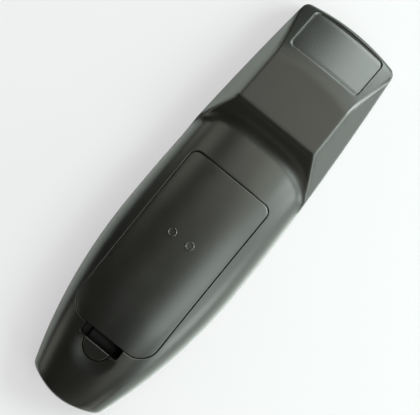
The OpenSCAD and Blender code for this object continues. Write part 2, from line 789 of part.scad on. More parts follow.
status_d = 3;
module status_led() {
    color("#b03030") {
        translate([led_hole_x, 0, key_recess])
            cylinder(d = status_d, h = board_z - key_recess);
        translate([led_hole_x, 0, key_recess])
            intersection() {
                sphere(d = status_d);
                translate([-status_d, -status_d, -status_d + 0.1])
                    cube([2 * status_d, 2 * status_d, status_d]);
            }
    }
}

// Parts on the back of the board, in the hollow of the head
chip_x = edge_x + 8;
module controller_chip() {
    color("#222326") {
        translate([chip_x - 6.4, -3.8, board_top_z + 0.2])
            cube([12.8, 7.6, 2.2]);
        for (i = [0 : 9])
            for (side = [-1, 1])
                translate([chip_x - 5.9 + 1.27 * i, side < 0 ? -5.2 : 3.7, board_top_z])
                    cube([0.4, 1.5, 0.6]);
    }
}
module resonator() {
    color("#3b6ea8") {
        translate([chip_x + 11, -11.5, board_top_z + 0.6])
            cube([2.6, 7, 5]);
        for (i = [-1 : 1])
            translate([chip_x + 12.05, -8.25 + 2.5 * i, board_top_z])
                cube([0.5, 0.5, 1]);
    }
}
capacitor_d = 6.3;
module reservoir_capacitor() {
    color("#30343c") {
        translate([chip_x + 13, 9, board_top_z])
            cylinder(d = capacitor_d, h = 9);
    }
}
module drive_transistor() {
    color("#26272a")
        translate([chip_x + 20, -4.5, board_top_z]) {
            translate([0, 0, 1.5])
                difference() {
                    cylinder(d = 4.7, h = 4.6);
                    translate([1.2, -5, -over])
                        cube([10, 10, 4.6 + 2 * over]);
                }
            for (i = [-1 : 1])
                translate([-0.25, 1.27 * i - 0.25, 0])
                    cube([0.5, 0.5, 1.6]);
        }
}

// Two cells side by side, the right one turned end for end
button_len = 1;
module cell(x0) {
    translate([x0, 0, cell_z])
        rotate([0, 90, 0]) {
            translate([0, 0, button_len])
                cylinder(d = cell_d, h = cell_len - button_len);
            cylinder(d = 5.4, h = button_len + 0.1);
        }
}
module battery_left() {
    color("#4a4d52")
        translate([0, cell_pitch / 2, 0])
            cell(bay_x0 + slack);
}
module battery_right() {
    color("#4a4d52")
        translate([bay_x1 - plate_t - slack, -cell_pitch / 2, 0])
            mirror([1, 0, 0])
                cell(0);
}

// Contacts: a plate on the bay's end wall, a tail down to the board, and a tapering wire spring
plate_w = 9;
spring_turns = 4;
spring_foot = 0.2;
spring_base_r = 4.2;
spring_tip_r = 2.5;
ring_sides = 6;
turn_rings = 8;
function spring_centre(s) =
    let (r = spring_base_r + (spring_tip_r - spring_base_r) * s)
    [spring_foot + (spring_len - spring_wire / 2 - spring_foot) * s,
     r * cos(360 * spring_turns * s), r * sin(360 * spring_turns * s)];
spring_count = spring_turns * turn_rings;
spring_path = [for (i = [0 : spring_count]) spring_centre(i / spring_count)];
spring_gap = min([for (i = [0 : spring_count]) for (j = [i + turn_rings - 1 : 1 : spring_count])
    norm(spring_path[j] - spring_path[i])]) - spring_wire;
echo(least_gap_between_spring_turns = spring_gap);
module wire_spring() {
    rings = [for (i = [0 : spring_count])
        let (turn = 360 * spring_turns * i / spring_count)
        let (out = [0, cos(turn), sin(turn)])
        [for (k = [0 : ring_sides - 1])
            spring_path[i] + spring_wire / 2 * (cos(60 * k) * out + sin(60 * k) * [1, 0, 0])]];
    points = [for (r = rings) each r];
    sides = [for (i = [0 : spring_count - 1]) for (k = [0 : ring_sides - 1])
        let (a = i * ring_sides + k)
        let (b = i * ring_sides + (k + 1) % ring_sides)
        each [[a, b, a + ring_sides], [b, b + ring_sides, a + ring_sides]]];
    first = [for (k = [ring_sides - 1 : -1 : 0]) k];
    last = [for (k = [0 : ring_sides - 1]) spring_count * ring_sides + k];
    polyhedron(points, concat([first], sides, [last]), convexity = 6);
}
module plate(x, y, w) {
    translate([x, y - w / 2, tray_top_z + slack])
        cube([plate_t, w, cell_z + plate_w / 2 - tray_top_z]);
}
module contact_tail(x, y) {
    translate([x, y - tail_w_contact / 2, board_top_z])
        cube([plate_t, tail_w_contact, tray_top_z + 2 - board_top_z]);
}
module positive_contact() {
    color(steel) {
        plate(bay_x1 - plate_t, -cell_pitch / 2, plate_w);
        contact_tail(bay_x1 - plate_t, -cell_pitch / 2);
    }
}
module negative_contact() {
    color(steel) {
        plate(bay_x1 - plate_t, cell_pitch / 2, plate_w);
        contact_tail(bay_x1 - plate_t, cell_pitch / 2);
        translate([bay_x1 - plate_t, cell_pitch / 2, cell_z])
            mirror([1, 0, 0])
                wire_spring();
    }
}
module bridge_contact() {
    color(steel) {
        plate(bay_x0 - plate_t, 0, cell_pitch + plate_w);
        contact_tail(bay_x0 - plate_t, 0);
        translate([bay_x0, -cell_pitch / 2, cell_z])
            wire_spring();
    }
}

// A pan-head screw in the bay floor, between the two cells
screw_len = 5.4;
module case_screw() {
    color(steel)
        translate([screw_x, 0, tray_top_z]) {
            difference() {
                cylinder(d = screw_head_d, h = screw_head_t);
                for (turn = [0, 90])
                    rotate(turn)
                        translate([-1.3, -0.3, screw_head_t - 0.8])
                            cube([2.6, 0.6, over]);
            }
            translate([0, 0, -screw_len])
                cylinder(d = screw_d - 0.1, h = screw_len + 0.1);
        }
}

front_shell();
rear_shell();
battery_cover();
cover_latch();
ir_window();
keypad_mat();
circuit_board();
ir_led();
status_led();
controller_chip();
resonator();
reservoir_capacitor();
drive_transistor();
battery_left();
battery_right();
positive_contact();
negative_contact();
bridge_contact();
case_screw();
for (k = KEYS)
    key(k);
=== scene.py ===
# %% [markdown]
# A universal remote control lies on its keys, and we look almost straight down at its back. The
# CAD model already fixes every size and every joint. We could model over the photo by eye, but
# then the pieces would no longer fit and move together. So this script loads the CAD model as a
# frame and dresses each piece with a finer mesh and a material, without moving or stretching
# anything.

# %% Load the frame
import math

import bmesh
import bpy
import numpy as np
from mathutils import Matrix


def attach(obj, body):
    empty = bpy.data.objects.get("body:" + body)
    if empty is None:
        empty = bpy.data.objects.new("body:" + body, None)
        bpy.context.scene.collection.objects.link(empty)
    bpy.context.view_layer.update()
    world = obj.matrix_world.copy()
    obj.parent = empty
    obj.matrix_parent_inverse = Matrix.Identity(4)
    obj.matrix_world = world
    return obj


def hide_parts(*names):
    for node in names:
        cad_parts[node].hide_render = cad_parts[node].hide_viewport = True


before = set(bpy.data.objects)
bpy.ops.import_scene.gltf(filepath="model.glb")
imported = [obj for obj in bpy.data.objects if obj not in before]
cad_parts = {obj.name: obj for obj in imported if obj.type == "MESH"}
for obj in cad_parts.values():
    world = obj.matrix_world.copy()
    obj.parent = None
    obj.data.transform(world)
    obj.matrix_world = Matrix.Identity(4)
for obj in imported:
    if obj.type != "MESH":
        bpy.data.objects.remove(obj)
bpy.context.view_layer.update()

# %% [markdown]
# On the real remote the moulded back is one skin: a barrel, a finger groove, a raised head with
# a flat top, steep side facets and a slope for a label. It could be sculpted, or pulled from
# subdivided patches. One set of formulas is used instead, because the cover, its opening and
# the hollow inside can then follow the same skin. The sizes are those of the CAD source, in
# millimetres. Only the blends between the faces, the edges at both ends and a slight swell of
# the label slope are finer here, as the photo shows them.

# %% Sizes of the case
MM = 0.001
TAIL_X, HEAD_X, LENGTH, BODY_W = -93.0, 93.0, 186.0, 56.8
WIDE_X, TAIL_IN, NECK_IN, HEAD_IN = -16.0, 14.0, 1.25, 6.4
TAIL_BOW, HEAD_BOW, CORNER_R, SEAM_Z = 3.2, 2.0, 3.2, 9.5
REAR_WALL, FRONT_WALL, FRONT_EDGE_R, END_EDGE_R = 2.2, 2.0, 4.0, 1.2
CROWN_Z, CROWN_X, CROWN_TAIL_R, CROWN_HEAD_R = 28.0, -10.0, 680.0, 330.0
TAIL_FALL, FALL_X, FULLNESS = 7.7, -45.0, 2.9
HEAD_Z, EDGE_X = 30.0, HEAD_X - 0.2618 * LENGTH
LABEL_X, LABEL_CROWN_R, LABEL_SWELL, FACET_Z = 70.7, 160.0, 0.4, 18.5
GROOVE, TOP, LABEL, FACET = [math.tan(math.radians(a)) for a in (36, 5.5, 27.5, 59.5)]
GROOVE_BLEND, HEAD_BLEND, EDGE_BLEND = 3.4, 1.6, 1.1
NECK_X = EDGE_X - (HEAD_Z - FACET_Z) / GROOVE


def arc_r(run, drop):
    return (run * run + drop * drop) / (2 * drop)


def arc_drop(r, run):
    return r - np.sqrt(r * r - run * run)


def circle(r, degrees, x=0.0, y=0.0):
    """Points round a circle, at bearings in degrees."""
    turn = np.radians(degrees)
    return np.column_stack([x + r * np.cos(turn), y + r * np.sin(turn)])


def turns(count):
    return np.linspace(0, 360, count, endpoint=False)


NECK_RUN, HEAD_RUN = NECK_X - WIDE_X, HEAD_X - NECK_X
NECK_R = arc_r(NECK_RUN, NECK_IN)
HEAD_SWELL = (HEAD_IN - NECK_IN - HEAD_RUN * NECK_RUN / math.sqrt(NECK_R ** 2 - NECK_RUN ** 2)) / 4


def half_w(x):
    """Half the width of the case at a place along it."""
    tail = BODY_W / 2 - arc_drop(arc_r(WIDE_X - TAIL_X, TAIL_IN), np.maximum(WIDE_X - x, 0))
    neck = BODY_W / 2 - arc_drop(NECK_R, np.clip(x - WIDE_X, 0, NECK_RUN))
    u = (x - NECK_X) / HEAD_RUN
    head = BODY_W / 2 - NECK_IN - (HEAD_IN - NECK_IN) * u + 4 * HEAD_SWELL * u * (1 - u)
    return np.where(x < WIDE_X, tail, np.where(x < NECK_X, neck, head))


print("half width at the neck", float(half_w(NECK_X)))

# %% [markdown]
# Where two moulded faces meet, the tool has a small radius. Two height fields that meet in a
# plain maximum leave a crease, and a Bevel modifier can't follow an edge that fades out, as the
# groove's does. Adding a small bulge where the two come within a few millimetres of each other
# rounds the crease like a fillet. The same trick with a minimum rounds the outer edges of the
# head.

# %% Height of the back
def blend(a, b, k):
    return (np.maximum(k - np.abs(a - b), 0) / k) ** 2 * k / 4


def soft_max(a, b, k):
    return np.maximum(a, b) + blend(a, b, k)


def soft_min(a, b, k):
    return np.minimum(a, b) - blend(a, b, k)


def slant(tangent):
    return math.sqrt(1 + tangent * tangent)


def crown_z(x):
    curve = (x - CROWN_X) ** 2 / 2 / np.where(x < CROWN_X, CROWN_TAIL_R, CROWN_HEAD_R)
    return CROWN_Z - curve - TAIL_FALL * (np.maximum(FALL_X - x, 0) / (FALL_X - TAIL_X)) ** 2


def label_z(x, y):
    """Height of the label slope, which is crowned across and swells a little along the remote."""
    run = np.clip((x - LABEL_X) / (HEAD_X - LABEL_X), 0, 1)
    fall = (LABEL_X - EDGE_X) * TOP + (x - LABEL_X) * LABEL + y * y / 2 / LABEL_CROWN_R
    return HEAD_Z - fall + 4 * LABEL_SWELL * run * (1 - run)


def back_z(x, y, depth=0.0):
    """Height of the skin that lies a depth below the outside of the back."""
    u = np.minimum(1, np.abs(y) / (half_w(x) - depth))
    barrel = SEAM_Z + (crown_z(x) - depth - SEAM_Z) * np.maximum(1 - u ** FULLNESS, 0) ** (1 / FULLNESS)
    groove = HEAD_Z - (EDGE_X - x) * GROOVE - depth * slant(GROOVE)
    top = HEAD_Z - (x - EDGE_X) * TOP - depth * slant(TOP)
    label = label_z(x, y) - depth * slant(LABEL)
    facet = FACET_Z + (half_w(x) - np.abs(y)) * FACET - depth * slant(FACET)
    roof = soft_min(soft_min(groove, top, EDGE_BLEND), label, HEAD_BLEND)
    return soft_max(barrel, soft_min(roof, facet, HEAD_BLEND), GROOVE_BLEND)


print("crown", float(back_z(CROWN_X, 0.0)), "edge", float(back_z(EDGE_X, 0.0)))

# %% [markdown]
# The battery cover has a sprung latch, and behind the latch a thumb recess is pressed into the
# tail. The recess could be cut with a ball and a Boolean modifier. It is written as a height
# instead, so that its rim runs softly into the tail. It is part of a ball whose axis leans with
# the slope of the tail: shallow where it shows and deeper inside the shell, where the tab needs
# room.

# %% Sizes of the cover, the latch and the bay
COVER_LATCH_X = TAIL_X + 0.1667 * LENGTH
COVER_FRONT_X = COVER_LATCH_X + 79.6
COVER_W, COVER_T, COVER_GAP, SEAT_GAP = 38.8, 1.8, 0.3, 0.2
COVER_FRONT_R, COVER_LATCH_R, SHELF_W, SHELF_T = 3.5, 8.6, 1.8, 1.6
LATCH_SLOT, LATCH_T, PIVOT_Z, THUMB_R = 5.0, 1.3, 15.0, 6.0
DISH_W, DISH_DEPTH, DISH_SHOWN = 9.5, 3.8, 1.25
LEG_X = COVER_LATCH_X - LATCH_SLOT
PIVOT_X = LEG_X - LATCH_T / 2
POCKET_X0 = LEG_X - LATCH_T - 1.0
CELL_D, CELL_LEN, CELL_PITCH, PLATE_T, TRAY_T = 14.5, 50.5, 15.0, 0.4, 1.2
BOARD_TOP_Z, TRAY_Z, TRAY_TOP_Z = 6.6, 8.4, 9.6
CELL_Z = TRAY_TOP_Z + 0.05 + CELL_D / 2
BAY_X1 = COVER_FRONT_X - 3.1
BAY_X0 = BAY_X1 - PLATE_T - CELL_LEN - 6.0 - 0.1
CELL_R, CELL_Y = CELL_D / 2, CELL_PITCH / 2
BAY_HALF = CELL_Y + CELL_R + 0.6
POCKET_X1 = BAY_X0 - PLATE_T - TRAY_T
CROWN_AT_LEG = crown_z(LEG_X)
TILT = math.atan((CROWN_AT_LEG - crown_z(LEG_X - THUMB_R)) / THUMB_R)
THUMB_Z, THUMB_T = CROWN_AT_LEG - 0.7, 1.0


def dish_z(x, y, depth, grow):
    """Height of the thumb recess's floor, and a great height where there is none."""
    r = arc_r(DISH_W, depth)
    mid_x, mid_z = LEG_X - (r - depth) * math.sin(TILT), CROWN_AT_LEG + (r - depth) * math.cos(TILT)
    inside = (r + grow) ** 2 - (x - mid_x) ** 2 - y ** 2
    floor = mid_z - np.sqrt(np.maximum(inside, 0))
    return np.where(inside > 0, floor, 99.0) + 40 * np.clip((x - LEG_X - grow + 0.6) / 2.4, 0, 1)


def thumb_ring(r, z, back=0.0):
    """Half a circle round the tab's middle, in the plane of the tab, with its straight side set back."""
    x, y = circle(r, np.linspace(90, 270, 33)).T
    x, c, s = np.minimum(x, -back), math.cos(TILT), math.sin(TILT)
    return np.column_stack([LEG_X + x * c - z * s, y, THUMB_Z + z * c + x * s])


print("cover from", COVER_LATCH_X, "to", COVER_FRONT_X, "thumb recess leans", round(math.degrees(TILT), 1))

# %% [markdown]
# A smooth moulded back needs rows and columns of points, close together where it turns quickly.
# A subdivided plane would spread them evenly and waste most of them. Here the rows crowd at the
# crisp edge of the head and at both ends. The columns crowd towards the side, where the barrel
# falls steeply.

# %% Rows and columns of the back
ROW_STOPS, ROW_COUNTS, END_ROOM = (26.0, 43.2, 45.4, 68.0, 73.4), (114, 34, 11, 22.6, 13.5, 18), 5.2
BOW_RUN, RIDGE_LEAST, RIDGE_MOST, DISH_BLEND = 30, 0.5, 0.93, 0.9
SEAM_RISE = 0.3
SEAM_ROUND = ((0, SEAM_RISE), (0.22, 0.12))


def quarter(r, run):
    return np.where(run >= r, 0, r - np.sqrt(np.maximum(0, r * r - (r - np.minimum(run, r)) ** 2)))


def stations(inset, step):
    """Places of the rows along the case."""
    ends = [CORNER_R * (1 - math.cos(math.radians(a))) for a in range(0, 91, 10)] + [END_ROOM - 1]
    stops = [TAIL_X + END_ROOM + inset, *ROW_STOPS, HEAD_X - END_ROOM - inset]
    counts = [round(n / step) for n in ROW_COUNTS]
    middle = [np.linspace(a, b, n, endpoint=False) for a, b, n in zip(stops, stops[1:], counts)]
    return np.concatenate([[TAIL_X + inset + e for e in ends], *middle, [HEAD_X - inset - e for e in ends[::-1]]])


def bow(x):
    tail = TAIL_BOW * np.maximum(0, 1 - (x - TAIL_X) / BOW_RUN)
    return np.where(x < 0, tail, -HEAD_BOW * np.maximum(0, 1 - (HEAD_X - x) / BOW_RUN))


def end_run(x, inset):
    return np.minimum(x - TAIL_X, HEAD_X - x) - inset


def station_w(x, inset):
    """Half the width of a row, drawn in by an inset and by the corner at the end."""
    return half_w(x + bow(x)) - inset - quarter(max(CORNER_R - inset, 0.4), end_run(x, inset))


def columns(x, across, aside):
    """Places of the points of each row, as shares of its half width."""
    roof = np.minimum(np.minimum(HEAD_Z - (EDGE_X - x) * GROOVE, HEAD_Z - (x - EDGE_X) * TOP),
                      HEAD_Z - (LABEL_X - EDGE_X) * TOP - (x - LABEL_X) * LABEL)
    share = np.clip(1 - (roof - FACET_Z) / FACET / half_w(x), RIDGE_LEAST, RIDGE_MOST)
    ridge = np.where(x < NECK_X, RIDGE_MOST, share)[:, None]
    even = ridge * np.linspace(0, 1, across + 1)[None, :]
    close = 1 - (1 - ridge) * (1 - np.arange(1, aside + 1) / aside)[None, :] ** FULLNESS
    half = np.concatenate([even, close], axis=1)
    return np.concatenate([-half[:, :0:-1], half], axis=1)


def back_grid(inset, step, across, aside, dish_depth, dish_grow):
    """Rows of points on the skin of the back, a depth below the outside."""
    x = stations(inset, step)
    f = columns(x, across, aside)
    near = (x + bow(x))[:, None]
    z = back_z(near, f * (half_w(near) - inset), inset) - quarter(END_EDGE_R, end_run(x, inset))[:, None]
    px = x[:, None] + bow(x)[:, None] * f * f
    py = f * station_w(x, inset)[:, None]
    z = soft_min(z, dish_z(px, py, dish_depth, dish_grow), DISH_BLEND)
    z[:, [0, -1]] = SEAM_Z
    return np.stack([px, py, np.maximum(z, SEAM_Z + SEAM_RISE)], axis=2)


print("rows along the case", len(stations(0, 0.9)))

# %% [markdown]
# Boolean modifiers need closed meshes. A Solidify modifier would close the skin with one wall
# all over. A closed solid is built from its points here: the grid, a few rings below its rim,
# and a last face or a second grid. The rings are where a rim gets its rounding.

# %% Closed solids
def rim(grid):
    return np.concatenate([grid[:, 0], grid[-1, 1:], grid[-2::-1, -1], grid[0, -2:0:-1]])


def rim_at(grid, z):
    """The rim of a grid, brought to one height."""
    ring = rim(grid)
    ring[:, 2] = z
    return ring


def closed(name, top, rings, low=None):
    """A solid from a top grid, rings of points below its rim, and a low grid or a flat cap."""
    rows, cols = top.shape[:2]
    index = np.arange(rows * cols).reshape(rows, cols)
    quads = np.stack([index[:-1, :-1], index[1:, :-1], index[1:, 1:], index[:-1, 1:]], 2).reshape(-1, 4)
    points, faces, edge, count = [top.reshape(-1, 3)], quads.tolist(), rim(index), rows * cols
    for ring in rings + ([] if low is None else [low]):
        last = ring is low
        below = count + (rim(index) if last else np.arange(len(edge)))
        points.append(ring.reshape(-1, 3))
        faces += np.stack([edge, below, np.roll(below, -1), np.roll(edge, -1)], 1).tolist()
        faces += (quads[:, ::-1] + count).tolist() if last else []
        edge, count = below, count + len(points[-1])
    return solid(name, np.concatenate(points), faces + ([edge[::-1].tolist()] if low is None else []))


def link(name, data):
    """A new object in the scene."""
    holder = bpy.data.objects.new(name, data)
    bpy.context.scene.collection.objects.link(holder)
    return holder


def solid(name, points, faces):
    """An object whose place is in its mesh, with its faces turned outwards."""
    mesh = bpy.data.meshes.new(name)
    mesh.from_pydata((np.asarray(points, float) * MM).tolist(), [], [[int(v) for v in f] for f in faces])
    made = bmesh.new()
    made.from_mesh(mesh)
    bmesh.ops.remove_doubles(made, verts=made.verts, dist=1e-7)
    bmesh.ops.recalc_face_normals(made, faces=made.faces)
    made.to_mesh(mesh)
    made.free()
    return link(name, mesh)


# %% [markdown]
# A moulding has openings, ribs and bosses. They could be modelled into one mesh by hand, but
# Boolean modifiers keep each of them a plain form with its own sizes. Each is applied at once,
# by taking the evaluated mesh, so a finished piece carries no modifier. At the end the flat
# faces win the shading over the small roundings, which a Weighted Normal modifier does.

# %% Cutting, joining and smoothing
def apply_modifiers(piece):
    shaped = piece.evaluated_get(bpy.context.evaluated_depsgraph_get())
    mesh = bpy.data.meshes.new_from_object(shaped)
    old = piece.data
    piece.modifiers.clear()
    piece.data = mesh
    bpy.data.meshes.remove(old)


def combine(piece, operation, *others):
    """Combines a piece with others, one after the other, and removes them."""
    for other in others:
        tool = piece.modifiers.new("combine", "BOOLEAN")
        tool.operation, tool.solver, tool.object = operation, "MANIFOLD", other
        apply_modifiers(piece)
        bpy.data.objects.remove(other)
        assert len(piece.data.polygons) > 0, piece.name


def cut(piece, *others):
    combine(piece, "DIFFERENCE", *others)


def join(piece, *others):
    combine(piece, "UNION", *others)


def smooth(piece, degrees=32):
    made = bmesh.new()
    made.from_mesh(piece.data)
    bmesh.ops.remove_doubles(made, verts=made.verts, dist=2e-6)
    bmesh.ops.dissolve_degenerate(made, edges=made.edges, dist=1e-6)
    made.to_mesh(piece.data)
    made.free()
    piece.data.shade_smooth()
    piece.data.set_sharp_from_angle(angle=math.radians(degrees))
    piece.modifiers.new("normals", "WEIGHTED_NORMAL").keep_sharp = True
    apply_modifiers(piece)
    return piece


# %% [markdown]
# Most ribs, slots and pins of a moulding are plain forms. Blender's own cubes and cylinders
# would each need moving, scaling and bevelling. Rings of points, lofted into a closed solid,
# give blocks with rounded corners, prisms that run across the remote and turned forms, all at
# their final places.

# %% Plain forms
def loft(name, rings):
    """A closed solid through rings of points that all have the same count."""
    n = len(rings[0])
    faces = [[k * n + i, k * n + (i + 1) % n, (k + 1) * n + (i + 1) % n, (k + 1) * n + i]
             for k in range(len(rings) - 1) for i in range(n)]
    faces += [list(range(n))[::-1], [(len(rings) - 1) * n + i for i in range(n)]]
    return solid(name, np.concatenate(rings), faces)


def flat_ring(outline, z):
    return np.column_stack([outline, np.full(len(outline), z)])


def box_outline(x0, x1, half, r, steps=6, mid_y=0.0):
    """A rectangle in plan with rounded corners."""
    corners = [(x1 - r, half - r, 0), (x0 + r, half - r, 90), (x0 + r, r - half, 180), (x1 - r, r - half, 270)]
    return np.concatenate([circle(r, np.linspace(a, a + 90, steps + 1), x, mid_y + y) for x, y, a in corners])


def block(name, x0, x1, half, z0, z1, r, mid_y=0.0):
    outline = box_outline(x0, x1, half, r, mid_y=mid_y)
    return loft(name, [flat_ring(outline, z0), flat_ring(outline, z1)])


def prism(name, section, half):
    """A section in X and Z, drawn as far to either side of the middle."""
    return loft(name, [np.insert(section, 1, y, axis=1) for y in (-half, half)])


def lathe(name, profile, place, steps=48, along=(0, 0, 1)):
    """Turns a profile of radius and height about an axis that points along."""
    along = np.array(along, float) / np.linalg.norm(along)
    side = np.cross(along, (0, 1, 0) if abs(along[1]) < 0.9 else (1, 0, 0))
    side /= np.linalg.norm(side)
    turn = circle(1, turns(steps)) @ np.array([side, np.cross(along, side)])
    return loft(name, [np.array(place) + max(r, 1e-4) * turn + h * along for r, h in profile])


print("a block has", len(box_outline(0, 10, 5, 1)), "points round it")

# %% [markdown]
# The rear shell is a thin moulding that also holds the battery tray, the shelf under the cover
# and posts for the board. A Solidify modifier could give it a wall, but the inside is plainer
# than the outside. So the shell is the fine skin minus a coarser hollow, plus the inner forms,
# minus the openings. The opening's rim is flared by a few tenths, which gives it the soft lip
# that a mould leaves.

# %% The rear shell
FINE, COARSE = (0.9, 56, 14), (2.0, 20, 8)


def cover_grid(grow, depth):
    """Rows of points that follow the back, inside the cover's outline grown by a little."""
    a, b = COVER_LATCH_X - grow, COVER_FRONT_X + grow
    rl, rf = COVER_LATCH_R + grow, COVER_FRONT_R + grow
    turn = np.radians(np.arange(0, 90, 7.5))
    count = round(COVER_FRONT_X - COVER_LATCH_X - COVER_LATCH_R - COVER_FRONT_R)
    x = np.concatenate([a + rl * (1 - np.cos(turn)), np.linspace(a + rl, b - rf, count, endpoint=False),
                        b - rf * (1 - np.sin(turn)), [b]])
    half = COVER_W / 2 + grow - np.maximum(quarter(rf, b - x), quarter(rl, x - a))
    y = half[:, None] * np.linspace(-1, 1, 57)[None, :]
    px = np.repeat(x[:, None], y.shape[1], axis=1)
    return np.stack([px, y, back_z(px, y) - depth], axis=2)


def cover_slab(name, levels):
    """A curved slab; each level is a growth of its outline and a depth below the back."""
    grids = [cover_grid(grow, depth) for grow, depth in levels]
    return closed(name, grids[0], [rim(g) for g in grids[1:-1]], grids[-1])


rims = [rim_at(back_grid(inset, *FINE, DISH_SHOWN, 0), SEAM_Z + gap) for inset, gap in SEAM_ROUND]
rear = closed("rear_shell_moulding", back_grid(0, *FINE, DISH_SHOWN, 0), rims)
hollow = back_grid(REAR_WALL, *COARSE, DISH_DEPTH, 1.3)
cut(rear, closed("hollow", hollow, [rim_at(hollow, SEAM_Z - 1)]))

middle = back_grid(REAR_WALL / 2, *COARSE, DISH_DEPTH, 1.0)
tray = block("tray", BAY_X0 - PLATE_T - TRAY_T, BAY_X1 + TRAY_T, BAY_HALF + TRAY_T, TRAY_Z, CROWN_Z + 1, 1.5)
join(tray, block("pocket_walls", POCKET_X0 - TRAY_T, POCKET_X1 + 2 * TRAY_T, DISH_W + TRAY_T, TRAY_Z, CROWN_Z, 1.5))
combine(tray, "INTERSECT", closed("under_skin", middle, [rim_at(middle, TRAY_Z - 1)]))
SHELF_DEPTH = COVER_T + SEAT_GAP
join(rear, tray, cover_slab("shelf", [(COVER_GAP + SHELF_W, d) for d in (SHELF_DEPTH, SHELF_DEPTH + SHELF_T)]))
for x in (BAY_X0 + 4, BAY_X1 - 4):
    for y in (2 - BAY_HALF, BAY_HALF - 2):
        join(rear, block("board_post", x - 2, x + 2, 2.0, BOARD_TOP_Z, TRAY_Z + 0.6, 1.99, y))

lip = ((0.3, -1), (0.3, 0), (0.16, 0.04), (0.06, 0.13), (0, 0.3), (0, SHELF_DEPTH))
tab_room = ((0.25, -1.5), (0.25, -0.3), (0.6, 1.2))
cut(rear, cover_slab("opening", [(COVER_GAP + grow, depth) for grow, depth in lip]),
    block("bay", BAY_X0 - PLATE_T, BAY_X1, BAY_HALF, TRAY_TOP_Z, HEAD_Z, 1),
    block("pocket", LEG_X - 0.05, POCKET_X1, DISH_W, TRAY_TOP_Z, HEAD_Z, 1),
    loft("tab_pocket", [thumb_ring(THUMB_R + grow, z) for grow, z in tab_room]),
    block("leg_pocket", POCKET_X0, LEG_X + LATCH_SLOT, THUMB_R + 0.3, TRAY_TOP_Z, HEAD_Z, 1))
print("rear shell so far", len(rear.data.polygons), "faces")

# %% [markdown]
# Two slots take the cover's front tabs, narrow ones let the contact tails through, and a hole
# takes the screw. The shallow recess for a label lies on a crowned slope, where a flat cutter
# would bite deeper in the middle. So its cutter is a grid that follows the slope, and its rim
# is softened in small steps.

# %% Slots, hole and label recess in the rear shell
TAB_Y, TAB_W, TAB_T, TAB_REACH, TAB_SWING, RUN = 8.0, 6.6, 1.2, 2.0, 0.8, 0.3
TAB_TOP_Z = back_z(COVER_FRONT_X + TAB_REACH, TAB_Y + TAB_W / 2 + RUN) - 1.1 - RUN
HEAD_MARGIN, TAIL_MARGIN, NAV_STEP = 17, 29, 13.5
ROW_STEP = (LENGTH - HEAD_MARGIN - TAIL_MARGIN - 2 * NAV_STEP) / 10.5
TOP_ROW_X = HEAD_X - HEAD_MARGIN
MENU_X = TOP_ROW_X - 4 * ROW_STEP
NAV_X, EXIT_X = MENU_X - NAV_STEP, MENU_X - 2 * NAV_STEP
DIGIT_X = EXIT_X - 3.5 * ROW_STEP
SCREW_X = DIGIT_X + 0.75 * ROW_STEP
RECESS_TAIL, RECESS_HEAD, RECESS_HALF, RECESS_R = 3.3, 23.1, 16.7, 1.8
RECESS_EDGE = ((0.42, 0), (0.24, -0.03), (0.1, -0.1), (0.02, -0.19), (0, -0.27))
SLOPE = math.atan(LABEL)

low = TAB_TOP_Z - TAB_T - TAB_SWING
for y in (-TAB_Y, TAB_Y):
    end = COVER_FRONT_X + TAB_REACH + TAB_SWING
    cut(rear, block("tab_slot", BAY_X1 - TRAY_T, end, TAB_W / 2 + RUN, low, TAB_TOP_Z + RUN, 0.05, y),
        block("tab_way", BAY_X1 - TRAY_T, COVER_FRONT_X, TAB_W / 2 + RUN, low, HEAD_Z, 0.05, y))
for x, y in ((BAY_X1 - 0.2, -CELL_Y), (BAY_X1 - 0.2, CELL_Y), (BAY_X0 - 0.2, 0)):
    cut(rear, block("tail_slot", x - 0.5, x + 0.5, 1.8, TRAY_Z - 1, TRAY_TOP_Z + 1, 0.2, y))
cut(rear, block("screw_hole", SCREW_X - 1.6, SCREW_X + 1.6, 1.6, TRAY_Z - 1, TRAY_TOP_Z + 1, 1.59))


def label_grid(grow, rise):
    """Rows of points on the label slope, inside the recess's outline grown by a little, and lifted off it."""
    a, b, r = RECESS_TAIL - 1.6 * grow, RECESS_HEAD + grow, RECESS_R + grow
    turn = np.radians(np.arange(0, 91, 10))
    run = np.concatenate([a + r * (1 - np.cos(turn)), b - r * (1 - np.sin(turn))])[:, None]
    half = RECESS_HALF + grow - np.maximum(quarter(r, run - a), quarter(r, b - run))
    y = half * np.linspace(-1, 1, 61)[None, :]
    x = np.repeat(LABEL_X + run * math.cos(SLOPE), 61, axis=1)
    x = x + bow(x) * (y / half_w(x)) ** 2
    return np.stack([x + rise * math.sin(SLOPE), y, label_z(x, y) + rise * math.cos(SLOPE)], axis=2)


edge = [rim(label_grid(grow, rise)) for grow, rise in RECESS_EDGE]
cut(rear, closed("label_recess", label_grid(RECESS_EDGE[0][0], 2), edge, label_grid(-0.1, -0.32)))
smooth(rear)
print("rear shell", len(rear.data.polygons), "faces")

# %% [markdown]
# Every colour is written as the sRGB value that the eye reads off the object, and one function
# turns it to the linear value that the renderer works with. A second small function adds a
# node, sets it and links it, for material trees and geometry trees alike. Image textures could
# carry the grain of a surface, but noise on Object coordinates needs no unwrapping and shows no
# seams.

# %% Colour and node helpers
SPREAD = 0.03


def colour(code):
    srgb = [int(code[i:i + 2], 16) / 255 for i in (1, 3, 5)]
    return tuple(c / 12.92 if c <= 0.04045 else ((c + 0.055) / 1.055) ** 2.4 for c in srgb) + (1.0,)


def add(tree, kind, inputs=None, **settings):
    node = tree.nodes.new(kind)
    for name, value in settings.items():
        setattr(node, name, value)
    for name, value in (inputs or {}).items():
        if isinstance(value, bpy.types.NodeSocket):
            tree.links.new(value, node.inputs[name])
        else:
            node.inputs[name].default_value = value
    return node


